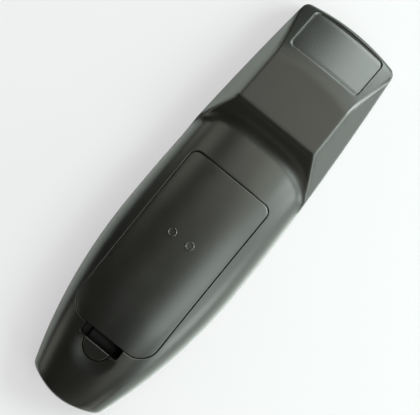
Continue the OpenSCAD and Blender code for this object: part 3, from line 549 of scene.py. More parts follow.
def surface(name, dark, light, patch_mm, grain_mm, relief_mm, rough, **constants):
    """A moulded or coated surface: soft patches of two close colours over a fine grain in relief."""
    material = bpy.data.materials.new(name)
    material.use_nodes = True
    tree = material.node_tree
    tree.nodes.clear()
    place = add(tree, "ShaderNodeTexCoord").outputs["Object"]
    patches = add(tree, "ShaderNodeTexNoise", {"Vector": place, "Scale": 1 / (patch_mm * MM), "Detail": 3.0})
    fac = patches.outputs["Fac"]
    tint = add(tree, "ShaderNodeMix", {"Factor": fac, 6: colour(dark), 7: colour(light)}, data_type="RGBA")
    grain = add(tree, "ShaderNodeTexNoise", {"Vector": place, "Scale": 1 / (grain_mm * MM), "Detail": 2.0,
                                             "Roughness": 0.6})
    relief = add(tree, "ShaderNodeBump", {"Height": grain.outputs["Fac"], "Strength": 1.0, "Distance": relief_mm * MM})
    worn = add(tree, "ShaderNodeMapRange", {"Value": fac, "To Min": rough - SPREAD, "To Max": rough + SPREAD})
    shade = add(tree, "ShaderNodeBsdfPrincipled", {"Base Color": tint.outputs[2], "Normal": relief.outputs["Normal"],
                                                   "Roughness": worn.outputs["Result"]})
    for socket, value in constants.items():
        shade.inputs[socket.replace("_", " ")].default_value = value
    add(tree, "ShaderNodeOutputMaterial", {"Surface": shade.outputs["BSDF"]})
    return material


print("middle grey in linear light", round(colour("#808080")[0], 3))

# %% [markdown]
# The case is ABS, injection moulded in a spark-eroded tool. That leaves a fine even grain, so
# the plastic looks satin: dark where it reflects nothing and pale where it faces the lamp. The
# grain could be real displacement, but a bump costs no faces. The real grain is about a fifth
# of a millimetre. It is drawn at twice that, so that it shows. The tool is polished where a
# label is to stick, so the recess reflects more sharply. Inside, where nobody looks, the tool
# is left coarse and the plastic is matt. The inside plastic is also a little darker than the
# outside, and that darker colour is painted shade in the hollows and pockets.

# %% Case plastic
case_abs = surface("spark_grained_abs", "#0e0d0b", "#11100e", 9, 0.4, 0.01, 0.3, IOR=1.54)
panel_abs = surface("polished_abs", "#0e0d0b", "#11100e", 9, 1.5, 0.0015, 0.26, IOR=1.54)
# The coarse inside plastic is matt, and its darker colour is painted shade in the hollows and pockets.
coarse_and_shaded_abs = surface("coarse_abs_with_painted_shade", "#0b0b09", "#0e0d0b", 9, 0.6, 0.03, 0.75, IOR=1.54)
COARSE_AND_SHADED_BELOW = 2.6


def coat(piece, *materials):
    """Gives a piece these materials and no others."""
    piece.data.materials.clear()
    for material in materials:
        piece.data.materials.append(material)


def coarse_and_shaded_inside(piece, index):
    """Gives the faces well below the skin of the back the coarse plastic, as one more material; its darker colour is
    painted shade.
    """
    piece.data.materials.append(coarse_and_shaded_abs)
    x, y, z = np.array([face.center for face in piece.data.polygons]).T / MM
    for face in np.flatnonzero(back_z(x, y) - z > COARSE_AND_SHADED_BELOW):
        piece.data.polygons[face].material_index = index


def finish(piece, body, material, node):
    """Gives a piece its material and its body, and hides the CAD node that it stands for."""
    if material is not None:
        coat(piece, material)
    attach(piece, body)
    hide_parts(node)


finish(rear, "housing", case_abs, "rear_shell")
rear.data.materials.append(panel_abs)
for face in rear.data.polygons:
    x, y, z = face.center / MM
    face.material_index = int(x > LABEL_X and 0.25 < label_z(x, y) - z < 1 and abs(y) < RECESS_HALF + 0.1)
coarse_and_shaded_inside(rear, 2)
print("rear shell has", [material.name for material in rear.data.materials])

# %% [markdown]
# The battery cover is a curved lid that lies flush with the back. It could be cut out of the
# shell, but then its edge would have no rounding of its own. So it is a slab on the same skin.
# Its edge turns down in a few small steps, which with the opening's lip makes the narrow dark
# line round it. Two tabs hook under the shell in front, and behind the cover's latch edge a leg
# and a U-shaped bend carry the latch.

# %% The battery cover
cover = cover_slab("battery_cover_moulding", [(-0.3, 0), (-0.15, 0.04), (-0.06, 0.13), (0, 0.3), (0, COVER_T)])
low = TAB_TOP_Z - TAB_T
for y in (-TAB_Y, TAB_Y):
    join(cover, block("tab", COVER_FRONT_X - 2, COVER_FRONT_X + TAB_REACH, TAB_W / 2, low, low + TAB_T, 0.4, y),
         block("tab_root", COVER_FRONT_X - 2, COVER_FRONT_X - 0.4, TAB_W / 2, low, low + TAB_T + 0.7, 0.3, y))
mid_x, small = COVER_LATCH_X - LATCH_SLOT / 2, LATCH_SLOT / 2
big, leg_top = small + LATCH_T, back_z(COVER_LATCH_X, THUMB_R) - COVER_T / 2
turn, whole = np.linspace(180, 360, 25), turns(32)
section = [circle(big, turn, mid_x, PIVOT_Z), [(mid_x + big, leg_top), (mid_x + small, leg_top)],
           circle(small, turn[::-1], mid_x, PIVOT_Z)]
bend = prism("latch_bend", np.concatenate(section), THUMB_R)
cut(bend, prism("knuckle_seat", circle(LATCH_T / 2 + RUN, whole, PIVOT_X, PIVOT_Z), 7))
join(cover, bend)

for x, side in ((-5.3, 1), (-27.1, 1), (-22.8, -1)):
    z, y = back_z(x, COVER_W / 2), side * (COVER_W / 2 - 0.2)
    join(cover, block("side_rib", x - 0.6, x + 0.6, 0.45, z - 1.4, z - 0.12, 0.1, y))
RING_X = COVER_FRONT_X - 31.2
RING = ((1.9, -0.5), (1.9, 0.1), (1.82, 0.19), (1.7, 0.24), (1.5, 0.24), (1.38, 0.19), (1.3, 0.1), (1.26, 0.0))
for y in (-3.5, 5.3):
    join(cover, lathe("moulded_ring", RING, (RING_X, y, back_z(RING_X, y)), along=(0.006, y * 0.007, 1.0)))
finish(smooth(cover), "battery_cover", case_abs, "battery_cover")
coarse_and_shaded_inside(cover, 1)
print("battery cover", len(cover.data.polygons), "faces")

# %% [markdown]
# The latch is a sprung leg with a half-round tab for the thumb. A Bevel modifier could round
# the tab once it is joined to the leg, but it stumbles over the small faces that a Boolean
# leaves. So the tab is drawn through six rings of points, and the upper ones step in a little
# at a time.

# %% The cover latch
TAB_RINGS = ((0.15, -THUMB_T), (0, -0.85), (0, -0.4), (0.06, -0.2), (0.2, -0.06), (0.42, 0))
latch = loft("cover_latch_moulding", [thumb_ring(THUMB_R - i, z, i if z > -0.5 else 0) for i, z in TAB_RINGS])
catch = [(LEG_X - LATCH_T + x, PIVOT_Z + 2 + z) for x, z in ((0.1, 0), (-0.6, 1.2), (0.1, 1.2))]
join(latch, block("leg", LEG_X - LATCH_T, LEG_X, THUMB_R, PIVOT_Z, THUMB_Z - THUMB_T / 2, 0.2),
     prism("root", circle(LATCH_T / 2, whole, PIVOT_X, PIVOT_Z), THUMB_R), prism("catch", catch, 4))
finish(smooth(latch), "cover_latch", case_abs, "cover_latch")
print("latch", len(latch.data.polygons), "faces")

# %% [markdown]
# The front shell is a tray that holds the keys. A box with bevelled edges would miss the curved
# outline of the remote. So its outline is the same plan as the rear shell's, drawn in by the
# edge radius at the bottom, and the two shells meet at the seam. The key field is sunk below
# the rim, so that the remote can lie on its face without pressing a key.

# %% The front shell
def plan(inset):
    """The outline of the case in plan, drawn in by an inset."""
    x = stations(inset, 1.5)
    share = np.linspace(-1, 1, 25)[1:-1]
    w, b = station_w(x, inset), bow(x)
    head = np.column_stack([x[-1] + b[-1] * share ** 2, share * w[-1]])
    tail = np.column_stack([x[0] + b[0] * share ** 2, -share * w[0]])
    return np.concatenate([np.column_stack([x + b, -w]), head, np.column_stack([x + b, w])[::-1], tail])


def plan_solid(name, levels):
    return loft(name, [flat_ring(plan(inset), z) for inset, z in levels])


FACE_Z, FIELD_Z, FIELD_IN = 3.4, 1.6, 6.0
edge = [(FRONT_EDGE_R - x, FRONT_EDGE_R - z) for x, z in circle(FRONT_EDGE_R, np.arange(90, -1, -7.5))]
front = plan_solid("front_shell_moulding", edge + [(inset, SEAM_Z - gap) for inset, gap in SEAM_ROUND])
join(front, plan_solid("lip", [(2.35, SEAM_Z - 1), (2.35, SEAM_Z + 1.2), (2.55, SEAM_Z + 1.4)]))
field = ((0.35, -1), (0.35, 0), (0.18, 0.05), (0.06, 0.15), (0, 0.35), (0, FIELD_Z))
cut(front, plan_solid("hollow", [(FRONT_WALL, FACE_Z), (FRONT_WALL, SEAM_Z - 2.4)]),
    plan_solid("mouth", [(3.35, SEAM_Z - 2.5), (3.35, SEAM_Z + 3)]),
    plan_solid("key_field", [(FIELD_IN - out, z) for out, z in field]))
join(front, lathe("screw_boss", [(2.4, FACE_Z - 0.5), (2.4, TRAY_Z)], (SCREW_X, 0, 0), 32))
cut(front, lathe("pilot_hole", [(1.3, FACE_Z - 0.2), (1.3, TRAY_Z + 1)], (SCREW_X, 0, 0), 32),
    block("window_slot", HEAD_X - 6, HEAD_X + 6, 12, 2.7, SEAM_Z - 1.2, 0.1))
print("front shell so far", len(front.data.polygons), "faces")

# %% [markdown]
# Thirty-nine rubber keys sit in rows that spread over the key field: a round pair, device keys,
# transport keys, a ring of arrows round an OK key, rockers and digits. Each place could be
# typed in. A rule for the rows is shorter, and it keeps the gaps even.

# %% Places of the keys
KEY_POINTS = 84
TOP_Y, SIDE_Y, ROCKER_Y, COLUMN = [BODY_W / 2 - margin for margin in (16.5, 13, 15, 16.4)]
DEVICE = (BODY_W - 29.2) / 3
BAR_LEN, BAR_W, SIDE_W = 6.2, COLUMN - 3.4, 8.0
NAV_OUT = math.hypot(NAV_STEP - BAR_LEN / 2, SIDE_Y - SIDE_W / 2) - 2
NAV_IN = NAV_OUT - 6
HOLE = ((0.45, FIELD_Z - 0.5), (0.45, FIELD_Z), (0.32, FIELD_Z + 0.06), (0.25, FIELD_Z + 0.2), (0.25, FACE_Z + 0.5))
keys = {"key_power": (TOP_ROW_X, TOP_Y, 9, 9, "round"), "key_setup": (TOP_ROW_X, -TOP_Y, 9, 9, "round")}


def bar_keys(names, across, x, pitch, wide):
    """Lays bar keys out in rows from the head to the tail, so many across."""
    for i, name in enumerate(names.split()):
        y = pitch * (i % across - (across - 1) / 2)
        keys["key_" + name] = (x - ROW_STEP * (i // across), y, BAR_LEN, wide, "bar")


bar_keys("menu guide", 2, MENU_X, 2 * SIDE_Y, SIDE_W)
bar_keys("exit info", 2, EXIT_X, 2 * SIDE_Y, SIDE_W)
keys["key_ok"] = (NAV_X, 0, 2 * NAV_IN - 4.4, 0, "round")
bar_keys("device_1 device_2 device_3 device_4", 4, TOP_ROW_X - ROW_STEP, DEVICE, DEVICE - 2.2)
bar_keys("rewind play forward record stop pause", 3, TOP_ROW_X - 2 * ROW_STEP, COLUMN, BAR_W)
for i, name in enumerate(("up", "right", "down", "left")):
    keys["key_" + name] = (NAV_X, 0, 90 * i, 0, "sector")
bar_keys("volume_up mute channel_up volume_down recall channel_down", 3, EXIT_X - ROW_STEP, ROCKER_Y, SIDE_W)
bar_keys(" ".join("digit_" + name for name in (*"123456789", "dash", "0", "enter")), 3, DIGIT_X, COLUMN, BAR_W)
print("keys", len(keys))

# %% [markdown]
# A key has the same outline all the way down, and so has its hole. Each key could be a bevelled
# cylinder or box of its own. Closed loops of evenly spaced points are used instead, because one
# loop then gives the key's plan and, grown by the gap, the hole in the front shell.

# %% Outlines of the keys
def evenly(points, count):
    """The same closed loop with evenly spaced points."""
    ring = np.vstack([points, points[:1]])
    run = np.concatenate([[0], np.cumsum(np.linalg.norm(np.diff(ring, axis=0), axis=1))])
    at = np.linspace(0, run[-1], count, endpoint=False)
    return np.column_stack([np.interp(at, run, ring[:, 0]), np.interp(at, run, ring[:, 1])])


def key_loop(key, grow):
    """The outline of a key in plan, grown by a little."""
    x, y, a, b, kind = keys[key]
    if kind == "bar":
        loop = box_outline(x - a / 2 - grow, x + a / 2 + grow, b / 2 + grow, 2.2 + grow, 10, y)
    elif kind == "round":
        loop = circle(a / 2 + grow, turns(KEY_POINTS), x, y)
    else:
        out, inn = NAV_OUT + grow, NAV_IN - grow
        wide, thin = [37 + math.degrees(math.asin(grow / r)) for r in (out, inn)]
        far, near = circle(out, np.linspace(-wide, wide, 41)), circle(inn, np.linspace(thin, -thin, 29))
        side = np.arange(1, 9)[:, None] / 9
        loop = np.concatenate([far, far[-1] + (near[0] - far[-1]) * side, near, near[-1] + (far[0] - near[-1]) * side])
        for _ in range(2):
            after = np.roll(loop, -1, 0)
            loop = np.stack([0.75 * loop + 0.25 * after, 0.25 * loop + 0.75 * after], 1).reshape(-1, 2)
        c, s = circle(1, [a])[0]
        loop = loop @ np.array([[c, s], [-s, c]]) + (x, y)
    return evenly(loop, KEY_POINTS)


def key_centre(key):
    x, y, a, _, kind = keys[key]
    return circle((NAV_IN + NAV_OUT) / 2 if kind == "sector" else 0, [a], x, y)[0]


for key in keys:
    cut(front, loft("hole", [flat_ring(key_loop(key, grow), z) for grow, z in HOLE]))
cut(front, lathe("led_hole", [(1.75, FIELD_Z - 0.5), (1.75, FACE_Z + 0.5)], (TOP_ROW_X, 0, 0)))
finish(smooth(front), "housing", case_abs, "front_shell")
print("front shell", len(front.data.polygons), "faces")

# %% [markdown]
# Key caps and springs each follow one rule with a few sizes, so Geometry Nodes grow them.
# Python could place every point, but a tree keeps the rule apart from the sizes. Both trees
# have named inputs, and both end by making their instances real and giving them a material. A
# tree is run by setting each input by its socket's identifier, and the mesh that it makes is
# kept.

# %% Geometry trees
def new_tree(name, output, **inputs):
    """A geometry tree with named inputs and one output, and the sockets that its inputs feed."""
    tree = bpy.data.node_groups.new(name, "GeometryNodeTree")
    for label, kind in inputs.items():
        tree.interface.new_socket(name=label, in_out="INPUT", socket_type="NodeSocket" + kind)
    tree.interface.new_socket(name=output, in_out="OUTPUT", socket_type="NodeSocketGeometry")
    return tree, add(tree, "NodeGroupInput").outputs


def end_tree(tree, geometry, material, output):
    real = add(tree, "GeometryNodeRealizeInstances", {"Geometry": geometry}).outputs[0]
    coated = add(tree, "GeometryNodeSetMaterial", {"Geometry": real, "Material": material}).outputs[0]
    add(tree, "NodeGroupOutput", {output: coated})
    print(tree.name, len(tree.nodes), "nodes")


def run_tree(piece, tree, **values):
    tool = piece.modifiers.new(tree.name, "NODES")
    tool.node_group = tree
    for item in tree.interface.items_tree:
        if item.name in values:
            tool[item.identifier] = values[item.name]
    apply_modifiers(piece)


# %% [markdown]
# A key cap has an upright wall, a rounded edge and a slightly crowned top, whatever its plan.
# Extruding and bevelling the plan would leave the top flat. So the tree wraps a grid round the
# plan. One side of the grid counts the points of the plan, and the other runs from the middle
# of the back over the wall and the edge to the middle of the top.

# %% Node tree of a key cap
cap_tree, given = new_tree("moulded_key_cap", "Cap", Plan="Geometry", Points="Int", Edge="Float", Crown="Float",
                           Low="Float", Root="Float", Centre="Vector", Material="Material")


def cap_node(kind, inputs=None, **settings):
    return add(cap_tree, kind, inputs, **settings).outputs[0]


def maths(operation, a, b=0.0):
    return cap_node("ShaderNodeMath", {0: a, 1: b}, operation=operation)


def vector(operation, a, b=(0, 0, 0)):
    return cap_node("ShaderNodeVectorMath", {0: a, 1: b}, operation=operation)


grid = cap_node("GeometryNodeMeshGrid", {"Size X": 1.0, "Size Y": 1.0, "Vertices X": maths("ADD", given["Points"], 1.0),
                                         "Vertices Y": 21})
spot = cap_node("GeometryNodeInputPosition")
uv = add(cap_tree, "ShaderNodeSeparateXYZ", {0: spot}).outputs
around = maths("ROUND", maths("MULTIPLY", maths("ADD", uv["X"], 0.5), given["Points"]))
along = maths("ADD", uv["Y"], 0.5)


def plan_point(step):
    """The point of the plan that lies some steps on from this one."""
    index = maths("MODULO", maths("ADD", around, step), given["Points"])
    return cap_node("GeometryNodeSampleIndex", {"Geometry": given["Plan"], "Value": spot, "Index": index},
                    data_type="FLOAT_VECTOR", domain="POINT")


def between(start, stop, first, last):
    ends = {"From Min": start, "From Max": stop, "To Min": first, "To Max": last}
    return cap_node("ShaderNodeMapRange", {"Value": along, **ends})


here, after, before = [plan_point(step) for step in (0.0, 1.0, KEY_POINTS - 1.0)]
inward = vector("CROSS_PRODUCT", (0, 0, 1), vector("NORMALIZE", vector("SUBTRACT", after, before)))
top_share = between(0.5, 1.0, 0.0, 1.0)
shrink = maths("ADD", between(0.0, 0.05, 1.0, 0.0), top_share)
turned = between(0.1, 0.5, 0.0, math.pi / 2)
inset = maths("MULTIPLY", given["Edge"], maths("SUBTRACT", 1.0, maths("COSINE", turned)))
wall = between(0.05, 0.1, given["Root"], maths("ADD", given["Low"], given["Edge"]))
drop = maths("MULTIPLY", given["Edge"], maths("SINE", turned))
rest = maths("SUBTRACT", 1.0, top_share)
swell = maths("MULTIPLY", given["Crown"], maths("SUBTRACT", 1.0, maths("MULTIPLY", rest, rest)))
height = maths("SUBTRACT", maths("SUBTRACT", wall, drop), swell)
moved = vector("ADD", here, cap_node("ShaderNodeVectorMath", {0: inward, "Scale": inset}, operation="SCALE"))
drawn = add(cap_tree, "ShaderNodeMix", {0: shrink, 4: moved, 5: given["Centre"]}, data_type="VECTOR", clamp_factor=True)
flat = add(cap_tree, "ShaderNodeSeparateXYZ", {0: drawn.outputs[1]}).outputs
place = cap_node("ShaderNodeCombineXYZ", {"X": flat["X"], "Y": flat["Y"], "Z": height})
shaped = cap_node("GeometryNodeSetPosition", {"Geometry": grid, "Position": place})
joined = cap_node("GeometryNodeMergeByDistance", {"Geometry": shaped, "Distance": 2e-6})
end_tree(cap_tree, joined, given["Material"], "Cap")

# %% [markdown]
# Silicone rubber keys are soft to the eye: nearly matt, with a faint sheen at grazing angles. A
# plain rough shader would look flat there, so a little sheen is added. The marks on them are
# pad printed in a pale ink.

# %% Rubber and ink
key_silicone = surface("silicone_rubber_grey", "#45484a", "#4b4e50", 4, 0.3, 0.006, 0.62, Sheen_Weight=0.12)
power_silicone = surface("silicone_rubber_red", "#8e2522", "#982b27", 4, 0.3, 0.006, 0.6, Sheen_Weight=0.12)
mark_ink = surface("pad_printed_ink", "#d5d7d4", "#dcdedb", 2, 0.2, 0.002, 0.5)
print("rubber and ink", [material.name for material in (key_silicone, power_silicone, mark_ink)])

# %% [markdown]
# The marks are digits, arrows and the plain symbols of any remote. An image texture could carry
# them, but small meshes stay sharp at any distance. Each symbol is put together from bars,
# discs, hoops and arrows, in millimetres from the middle of its key.

# %% Symbols
def bar(x0, y0, x1, y1, w=0.42):
    a, b = np.array([x0, y0]), np.array([x1, y1])
    side = np.array([y0 - y1, x1 - x0]) / math.hypot(x1 - x0, y1 - y0) * w / 2
    return [[a - side, b - side, b + side, a + side]]


def patch(x, y, w, h):
    return [[(x, y), (x + w, y), (x + w, y + h), (x, y + h)]]


def disc(x, y, r, n=24):
    return [circle(r, turns(n), x, y)]


def hoop(x, y, r, a0=0, a1=360, w=0.42):
    inner, outer = [circle(q, np.linspace(a0, a1, 29), x, y) for q in (r - w / 2, r + w / 2)]
    return [[inner[i], outer[i], outer[i + 1], inner[i + 1]] for i in range(28)]


def arrow(angle, size=1.3, x=0.0, y=0.0):
    return [circle(size, np.add(angle, (0, 130, 230)), x, y)]


speaker = patch(-1.5, -0.5, 0.6, 1.0) + [[(-0.9, -0.5), (0, -1.2), (0, 1.2), (-0.9, 0.5)]]
marks = {
    "power": hoop(0, -0.1, 1.5, 125, 415) + bar(0, 0.3, 0, 1.9), "setup": hoop(0, 0, 1.5) + disc(0, 0, 0.55),
    "rewind": arrow(180, 1.1, -0.9) + arrow(180, 1.1, 0.8), "forward": arrow(0, 1.1, 0.9) + arrow(0, 1.1, -0.8),
    "play": arrow(0, 1.4), "record": disc(0, 0, 1.05), "stop": patch(-0.95, -0.95, 1.9, 1.9),
    "pause": bar(-0.55, -1.1, -0.55, 1.1, 0.6) + bar(0.55, -1.1, 0.55, 1.1, 0.6),
    "menu": bar(-1.5, 0.95, 1.5, 0.95) + bar(-1.5, 0, 1.5, 0) + bar(-1.5, -0.95, 1.5, -0.95),
    "guide": [p for x in (-1.75, -0.48, 0.8) for y in (-1, 0.25) for p in patch(x, y, 0.95, 0.75)],
    "exit": bar(-0.95, -0.95, 0.95, 0.95) + bar(-0.95, 0.95, -0.2, 0.2) + bar(0.2, -0.2, 0.95, -0.95),
    "info": bar(0, -1.2, 0, 0.5, 0.55) + disc(0, 1.15, 0.35), "ok": hoop(0, 0, 2.0, w=0.5),
    "up": arrow(90), "right": arrow(0), "down": arrow(270), "left": arrow(180),
    "volume_up": bar(-1.2, 0, -0.22, 0) + bar(0.22, 0, 1.2, 0) + bar(0, -1.2, 0, 1.2),
    "volume_down": bar(-1.2, 0, 1.2, 0),
    "channel_up": arrow(90, 1.3, 0, -0.2), "channel_down": arrow(270, 1.3, 0, 0.2),
    "mute": speaker + bar(0.6, -0.6, 1.8, 0.6) + bar(0.6, 0.6, 1.0, 0.2) + bar(1.4, -0.2, 1.8, -0.6),
    "recall": hoop(0, 0, 1.3, 120, 400) + arrow(210, 0.75, -0.65, 1.25),
    "digit_dash": bar(-1.1, 0, 1.1, 0, 0.5),
    "digit_enter": bar(1.4, -0.4, 1.4, 1.1) + bar(1.2, -0.4, -0.6, -0.4) + arrow(180, 0.9, -0.9, -0.4),
}
for i in range(4):
    marks[f"device_{i + 1}"] = [d for k in range(i + 1) for d in disc(1.2 * (k - i / 2), 0, 0.38, 16)]
print("symbols", len(marks))

# %% [markdown]
# Seen from the side, a key is a cap that stands out of its hole, a hidden flange that keeps it
# in, and a pill that presses on the board. Each piece could have its own numbers. The sizes are
# kept together instead, because the cap, the mark and the flange all use them.

# %% Sizes of a key
KEY_LOW, CROWN, EDGE_ROUND, FLANGE_Z, INK_T, DIGIT_SIZE = 0.45, 0.3, 0.7, 3.45, 0.025, 3.6
print("a key stands", round(FIELD_Z - KEY_LOW, 2), "mm proud of the key field")

# %% [markdown]
# Printed ink follows the crown of its key. A Shrinkwrap modifier could press the mark onto the
# cap. The mark is cut into small triangles and lifted by the formula of the crown instead,
# which puts it exactly a few hundredths above the rubber.

# %% Laying a mark on a key
def digit_mesh(text):
    letter = bpy.data.curves.new("digit", "FONT")
    letter.body, letter.size, letter.align_x, letter.align_y = text, DIGIT_SIZE, "CENTER", "CENTER"
    holder = link("digit", letter)
    bpy.context.view_layer.update()
    mesh = bpy.data.meshes.new_from_object(holder.evaluated_get(bpy.context.evaluated_depsgraph_get()))
    bpy.data.objects.remove(holder)
    return mesh


def mark_mesh(made, key):
    """Adds a key's mark to its mesh, laid on the crown and facing the front."""
    name = key[4:]
    new = bmesh.new()
    if name in marks:
        for points in marks[name]:
            new.faces.new([new.verts.new((x, y, 0)) for x, y in points])
    else:
        mesh = digit_mesh(name[-1])
        new.from_mesh(mesh)
        bpy.data.meshes.remove(mesh)
    bmesh.ops.triangulate(new, faces=new.faces)
    for _ in range(3):
        bmesh.ops.subdivide_edges(new, edges=[e for e in new.edges if e.calc_length() > 0.5], cuts=1)
        bmesh.ops.triangulate(new, faces=new.faces)
    centre, loop = key_centre(key), key_loop(key, -EDGE_ROUND)
    bearing = np.arctan2(*(loop - centre).T[::-1])
    order = np.argsort(bearing)
    reach = np.linalg.norm(loop - centre, axis=1)[order]
    for v in new.verts:
        q = np.array([v.co.y, v.co.x])
        edge = np.interp(math.atan2(q[1], q[0]), bearing[order], reach, period=2 * math.pi)
        share = min(1, np.linalg.norm(q) / edge)
        z = KEY_LOW + CROWN - CROWN * (1 - share * share) - INK_T
        v.co = (*((centre + q) * MM), z * MM)
    copies = {v: made.verts.new(v.co) for v in new.verts}
    for f in new.faces:
        corners = [copies[v] for v in f.verts]
        if f.calc_area() < 1e-12 or made.faces.get(corners):
            continue
        face = made.faces.new(corners)
        face.material_index = 1
        face.normal_update()
        if face.normal.z > 0:
            face.normal_flip()
    new.free()


# %% [markdown]
# Each key is one moulding. Its cap is made by the tree from its own plan, and then it gets its
# flange, its pill and its mark. They could stay separate objects, but a key moves as one piece,
# so they share one mesh with two materials.

# %% The keys
for key in keys:
    centre, wide = key_centre(key), key_loop(key, 0.8)
    mesh = bpy.data.meshes.new(key)
    ring, around = flat_ring(key_loop(key, 0) * MM, 0), [(i, (i + 1) % KEY_POINTS) for i in range(KEY_POINTS)]
    mesh.from_pydata(ring.tolist(), around, [])
    cap = link("cap_" + key[4:], mesh)
    rubber = power_silicone if key == "key_power" else key_silicone
    run_tree(cap, cap_tree, Points=KEY_POINTS, Edge=EDGE_ROUND * MM, Crown=CROWN * MM, Low=(KEY_LOW + CROWN) * MM,
             Root=(FLANGE_Z + 0.3) * MM, Centre=(*(centre * MM), 0), Material=rubber)
    made = bmesh.new()
    made.from_mesh(cap.data)
    bmesh.ops.recalc_face_normals(made, faces=made.faces)
    for extra in (loft("flange", [flat_ring(wide, FLANGE_Z), flat_ring(wide, FLANGE_Z + 0.6)]),
                  lathe("pill", [(1.8, FLANGE_Z + 0.3), (1.8, FLANGE_Z + 1.2)], (*centre, 0), 24)):
        made.from_mesh(extra.data)
        bpy.data.objects.remove(extra)
    for face in made.faces:
        face.material_index = 0
    mark_mesh(made, key)
    coat(cap, rubber, mark_ink)
    made.to_mesh(cap.data)
    made.free()
    cap.data.shade_smooth()
    cap.data.set_sharp_from_angle(angle=math.radians(40))
    finish(cap, key, None, key)
print("caps", len(keys), "each about", len(cap.data.polygons), "faces")

# %% [markdown]
# The head end has a window of deep red plastic that looks black but lets infrared light out,
# and a small red light sits between the two round keys. A clear glass shader would show the
# empty inside of the case. Dark, polished surfaces look like the real ones, and their
# reflections are sharp.

# %% Window and status light
window_red = surface("polished_red_acrylic", "#1f070b", "#23090d", 12, 1.5, 0.001, 0.08, IOR=1.49, Coat_Weight=0.3)
lens_red = surface("clear_red_epoxy", "#8c1d1c", "#941f1e", 3, 0.8, 0.001, 0.1, IOR=1.53, Transmission_Weight=0.35)
PANE = ((0.2, 2.75), (0.06, 2.82), (0, 2.98), (0, 8.02), (0.06, 8.18), (0.2, 8.25))


def window_ring(shy, z):
    """The pane's outline at a height, between the face of the head end and a face behind it."""
    y, sides = np.linspace(-11.95, 11.95, 49) * (1 - shy / 12), []
    for inset, out in ((0.2, -shy), (2.0, shy)):
        x = HEAD_X - inset
        sides.append(flat_ring(np.column_stack([x + bow(x) * (y / station_w(x, inset)) ** 2 + out, y]), z))
    return np.concatenate([sides[0], sides[1][::-1]])


window = smooth(loft("ir_window_pane", [window_ring(shy, z) for shy, z in PANE]))
finish(window, "housing", window_red, "ir_window")
dome = [(y, 1.6 - x) for x, y in circle(1.5, np.arange(0, 91, 9))]
light_lens = smooth(lathe("status_lens", dome + [(1.5, 5.4)], (TOP_ROW_X, 0, 0)))
finish(light_lens, "housing", lens_red, "status_led")
print("window", len(window.data.polygons), "faces")

# %% [markdown]
# Two AA cells lie in the bay, one turned end for end. A cell is a steel can in a printed
# plastic sleeve that is shrunk over its shoulders, with a bare button at one end and a bare
# base at the other. It could be stacked from cylinders. One turned profile is used, because the
# sleeve's shoulder then runs into the steel without a gap. The sleeve is plain, with a pale
# band and a plus and minus sign.

# %% The cells
sleeve_blue = surface("shrunk_pvc_sleeve", "#26384f", "#2a3d55", 14, 2.5, 0.004, 0.28, IOR=1.53)
sleeve_pale = surface("printed_pvc_band", "#c9ccc8", "#d0d3cf", 14, 2.5, 0.004, 0.3, IOR=1.53)
nickel = surface("nickel_plated_steel", "#b9b7b0", "#c4c2bb", 3, 0.25, 0.003, 0.24, Metallic=1.0)
BAND_END, BARE_R = 14.2, 6.1
CELL_PROFILE = ((0.01, 0), (2.3, 0), (2.6, 0.12), (2.7, 0.35), (2.7, 1.0), (4.6, 1.05), (5.0, 1.25), (6.3, 1.25),
                (6.75, 1.1), (7.05, 1.14), (7.2, 1.32), (CELL_R, 1.6), (CELL_R, 14.0), (CELL_R, 14.3), (CELL_R, 30.0),
                (CELL_R, 49.6), (7.18, 49.95), (6.95, 50.2), (6.6, 50.3), (6.3, 50.12), (6.0, 50.1), (5.6, 50.3),
                (5.2, 50.5), (0.01, 50.5))
SIGN_STROKES = ((7.5, 4.2, 1.1), (7.5, 1.1, 4.2), (44.0, 4.2, 1.1))


def cell(name, node, start, way, y):
    """A cell from its button along X, one way or the other."""
    piece = smooth(lathe(name, CELL_PROFILE, (start, y, CELL_Z), 72, (way, 0, 0)), 30)
    coat(piece, sleeve_blue, sleeve_pale, nickel)
    for face in piece.data.polygons:
        x, side, z = face.center / MM
        bare = math.hypot(side - y, z - CELL_Z) < BARE_R
        face.material_index = 2 if bare else 1 if (x - start) * way < BAND_END else 0
    signs = bmesh.new()
    signs.from_mesh(piece.data)
    for h, wide, long in SIGN_STROKES:
        arc = np.degrees(wide / CELL_R * (np.arange(9) / 8 - 0.5))
        bent = circle(CELL_R + (0.024 if wide > long else 0.02), 90 - arc, y, CELL_Z) * MM
        ends = [(start + way * (h + long * k)) * MM for k in (-0.5, 0.5)]
        rows = [[signs.verts.new((x, *point)) for x in ends] for point in bent]
        for low, high in zip(rows, rows[1:]):
            face = signs.faces.new([*low, *high[::-1]])
            face.normal_update()
            if face.normal.z < 0:
                face.normal_flip()
            face.material_index = int(h > BAND_END)
            face.smooth = True
    signs.to_mesh(piece.data)
    signs.free()
    finish(piece, "housing", None, node)


cell("left_cell", "battery_left", BAY_X0 + 0.05, 1, CELL_Y)
cell("right_cell", "battery_right", BAY_X1 - PLATE_T - 0.05, -1, -CELL_Y)
print("cells at", round(BAY_X0, 2), round(BAY_X1, 2))

# %% [markdown]
# Two of the battery contacts carry a tapering spring of round wire. A Screw modifier turns a
# spring of one radius, and these taper. So Geometry Nodes sweep a round wire along a spiral,
# from the wire, the radii and the turns.

# %% Node tree of a spring
coil_tree, coil = new_tree("tapering_wire_spring", "Contact", Plate="Geometry", Turns="Float", Base="Float",
                           Tip="Float", Length="Float", Wire="Float", Place="Vector", Lean="Float", Material="Material")


def coil_node(kind, inputs):
    return add(coil_tree, kind, inputs).outputs[0]


